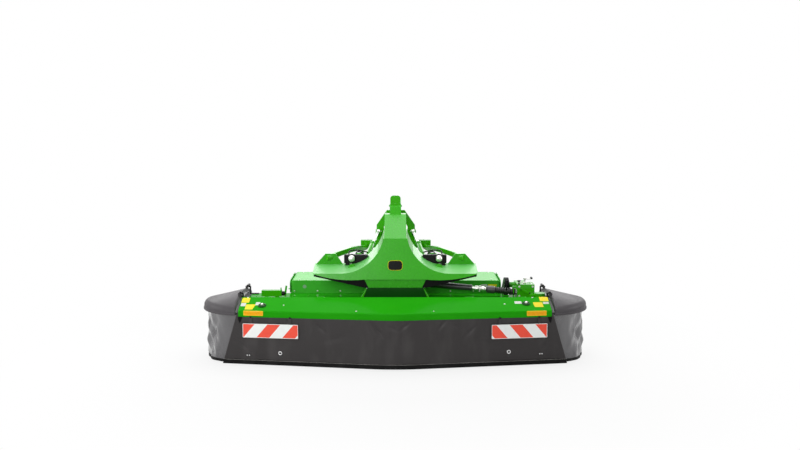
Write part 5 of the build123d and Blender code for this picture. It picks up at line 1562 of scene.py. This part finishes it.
leaning = (at(0, 1.0, TOP_EDGE) @ Matrix.Rotation(math.atan2(TOP_RISE, TOP_DEPTH), 4, "X")
           @ moved(0, -behind(1.0), -0.7372))
for x in (-0.72, 0.72):
    block(seams, (x - 0.016, behind(1.04), 0.735), (x + 0.016, behind(1.42), 0.744), 0.002, 2, leaning)
make_piece("housing_seams", seams, "housing_green", "frame")
print("housing ends and fastenings ready")

# %% [markdown]
# ## Gearbox, input shaft and parking stands
# The tractor drives the machine through a splined stub at the back of the middle gearbox: six
# square teeth with a groove for the locking balls. The spline is one flat star, extruded.

# %% Gearbox and spline
def spline_outline(root, tip, teeth=6, share=0.46):
    """Star with square teeth, in the middle of its own plane."""
    points = []
    for i in range(teeth):
        middle = math.tau * i / teeth
        half = math.pi / teeth * share
        for angle, radius in ((-half * 1.08, root), (-half, tip), (0, tip), (half, tip), (half * 1.08, root)):
            points.append((radius * math.cos(middle + angle), radius * math.sin(middle + angle)))
        gap = middle + math.pi / teeth
        points.append((root * math.cos(gap), root * math.sin(gap)))
    return points

low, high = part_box("input_shaft")
start = Vector((0, low[1], (low[2] + high[2]) / 2))
rearwards = along(start, start + Vector((0, 1, 0)))
reach = high[1] - low[1]
shaft, collar = bmesh.new(), bmesh.new()
star = spline_outline(0.0148, 0.01745)
plate(shaft, star, reach - 0.09, rearwards @ moved(0, 0, 0.03), 0)
turned(shaft, [(0, reach - 0.061), (0.0148, reach - 0.061), (0.0148, reach - 0.044), (0, reach - 0.044)], rearwards, 24)
plate(shaft, star, 0.041, rearwards @ moved(0, 0, reach - 0.045), 0)
turned(shaft, [(0, reach - 0.006), (0.0172, reach - 0.006), (0.0145, reach), (0, reach)], rearwards, 24)
turned(collar, [(0, 0), (0.025, 0), (0.0262, 0.0015), (0.0262, 0.04), (0.0245, 0.046), (0.021, 0.055), (0, 0.055)],
       rearwards, 32)
make_piece("input_spline", shaft, "bare_steel", "input_body", ("input_shaft",), smooth=25)
make_piece("input_collar", collar, "grey_steel", "input_body")
softened("centre_gearbox", 0.005, "black_paint")
low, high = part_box("centre_gearbox")
casting = bmesh.new()
for x in (-0.06, 0.0, 0.06):
    block(casting, (x - 0.005, behind(0.935), high[2] - 0.002), (x + 0.005, high[1] - 0.012, high[2] + 0.006), 0.002)
turned(casting, [(0, 0), (0.017, 0), (0.018, 0.002), (0.018, 0.009), (0.013, 0.012), (0.012, 0.016), (0, 0.017)],
       at(0.03, 1.03, high[2] + 0.001), 20)
make_piece("gearbox_casting", casting, "black_paint", "frame")
heads = [((x, high[1] - 0.0003, z), (0, 1, 0)) for x in (-0.082, 0.082) for z in (0.805, 0.88)]
heads += [((s * 0.0995, behind(d), 0.86), (s, 0, 0)) for s in (-1, 1) for d in (1.03, 1.1)]
bolts("gearbox_bolts", heads, 0.0085)
print("input spline:", round(reach, 3), "long")

# %% Stands and forks
STAND_X = 0.305
for side, way in WAYS:
    def pads(bm, x=way * STAND_X):
        for z in (0.34, 0.42, 0.5, 0.58):
            rod(bm, (x, behind(1.874) - 0.0012, z), (x, behind(1.878), z), 0.012, 0.0008)
        block(bm, (x - 0.034, behind(1.868), 0.011), (x + 0.034, behind(1.93), 0.06), 0.004)

    softened(f"{side}_parking_stand", 0.003, "black_paint", angle=40, extra=pads)
softened("stand_forks", 0.0018, "black_paint", angle=40)
pins = [((way * (STAND_X + s * 0.041), behind(1.931), 1.055), (s * way, 0, 0)) for way in (-1, 1) for s in (-1, 1)]
bolts("stand_pins", pins, 0.011)
print("parking stands ready")

# %% Finish
low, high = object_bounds()
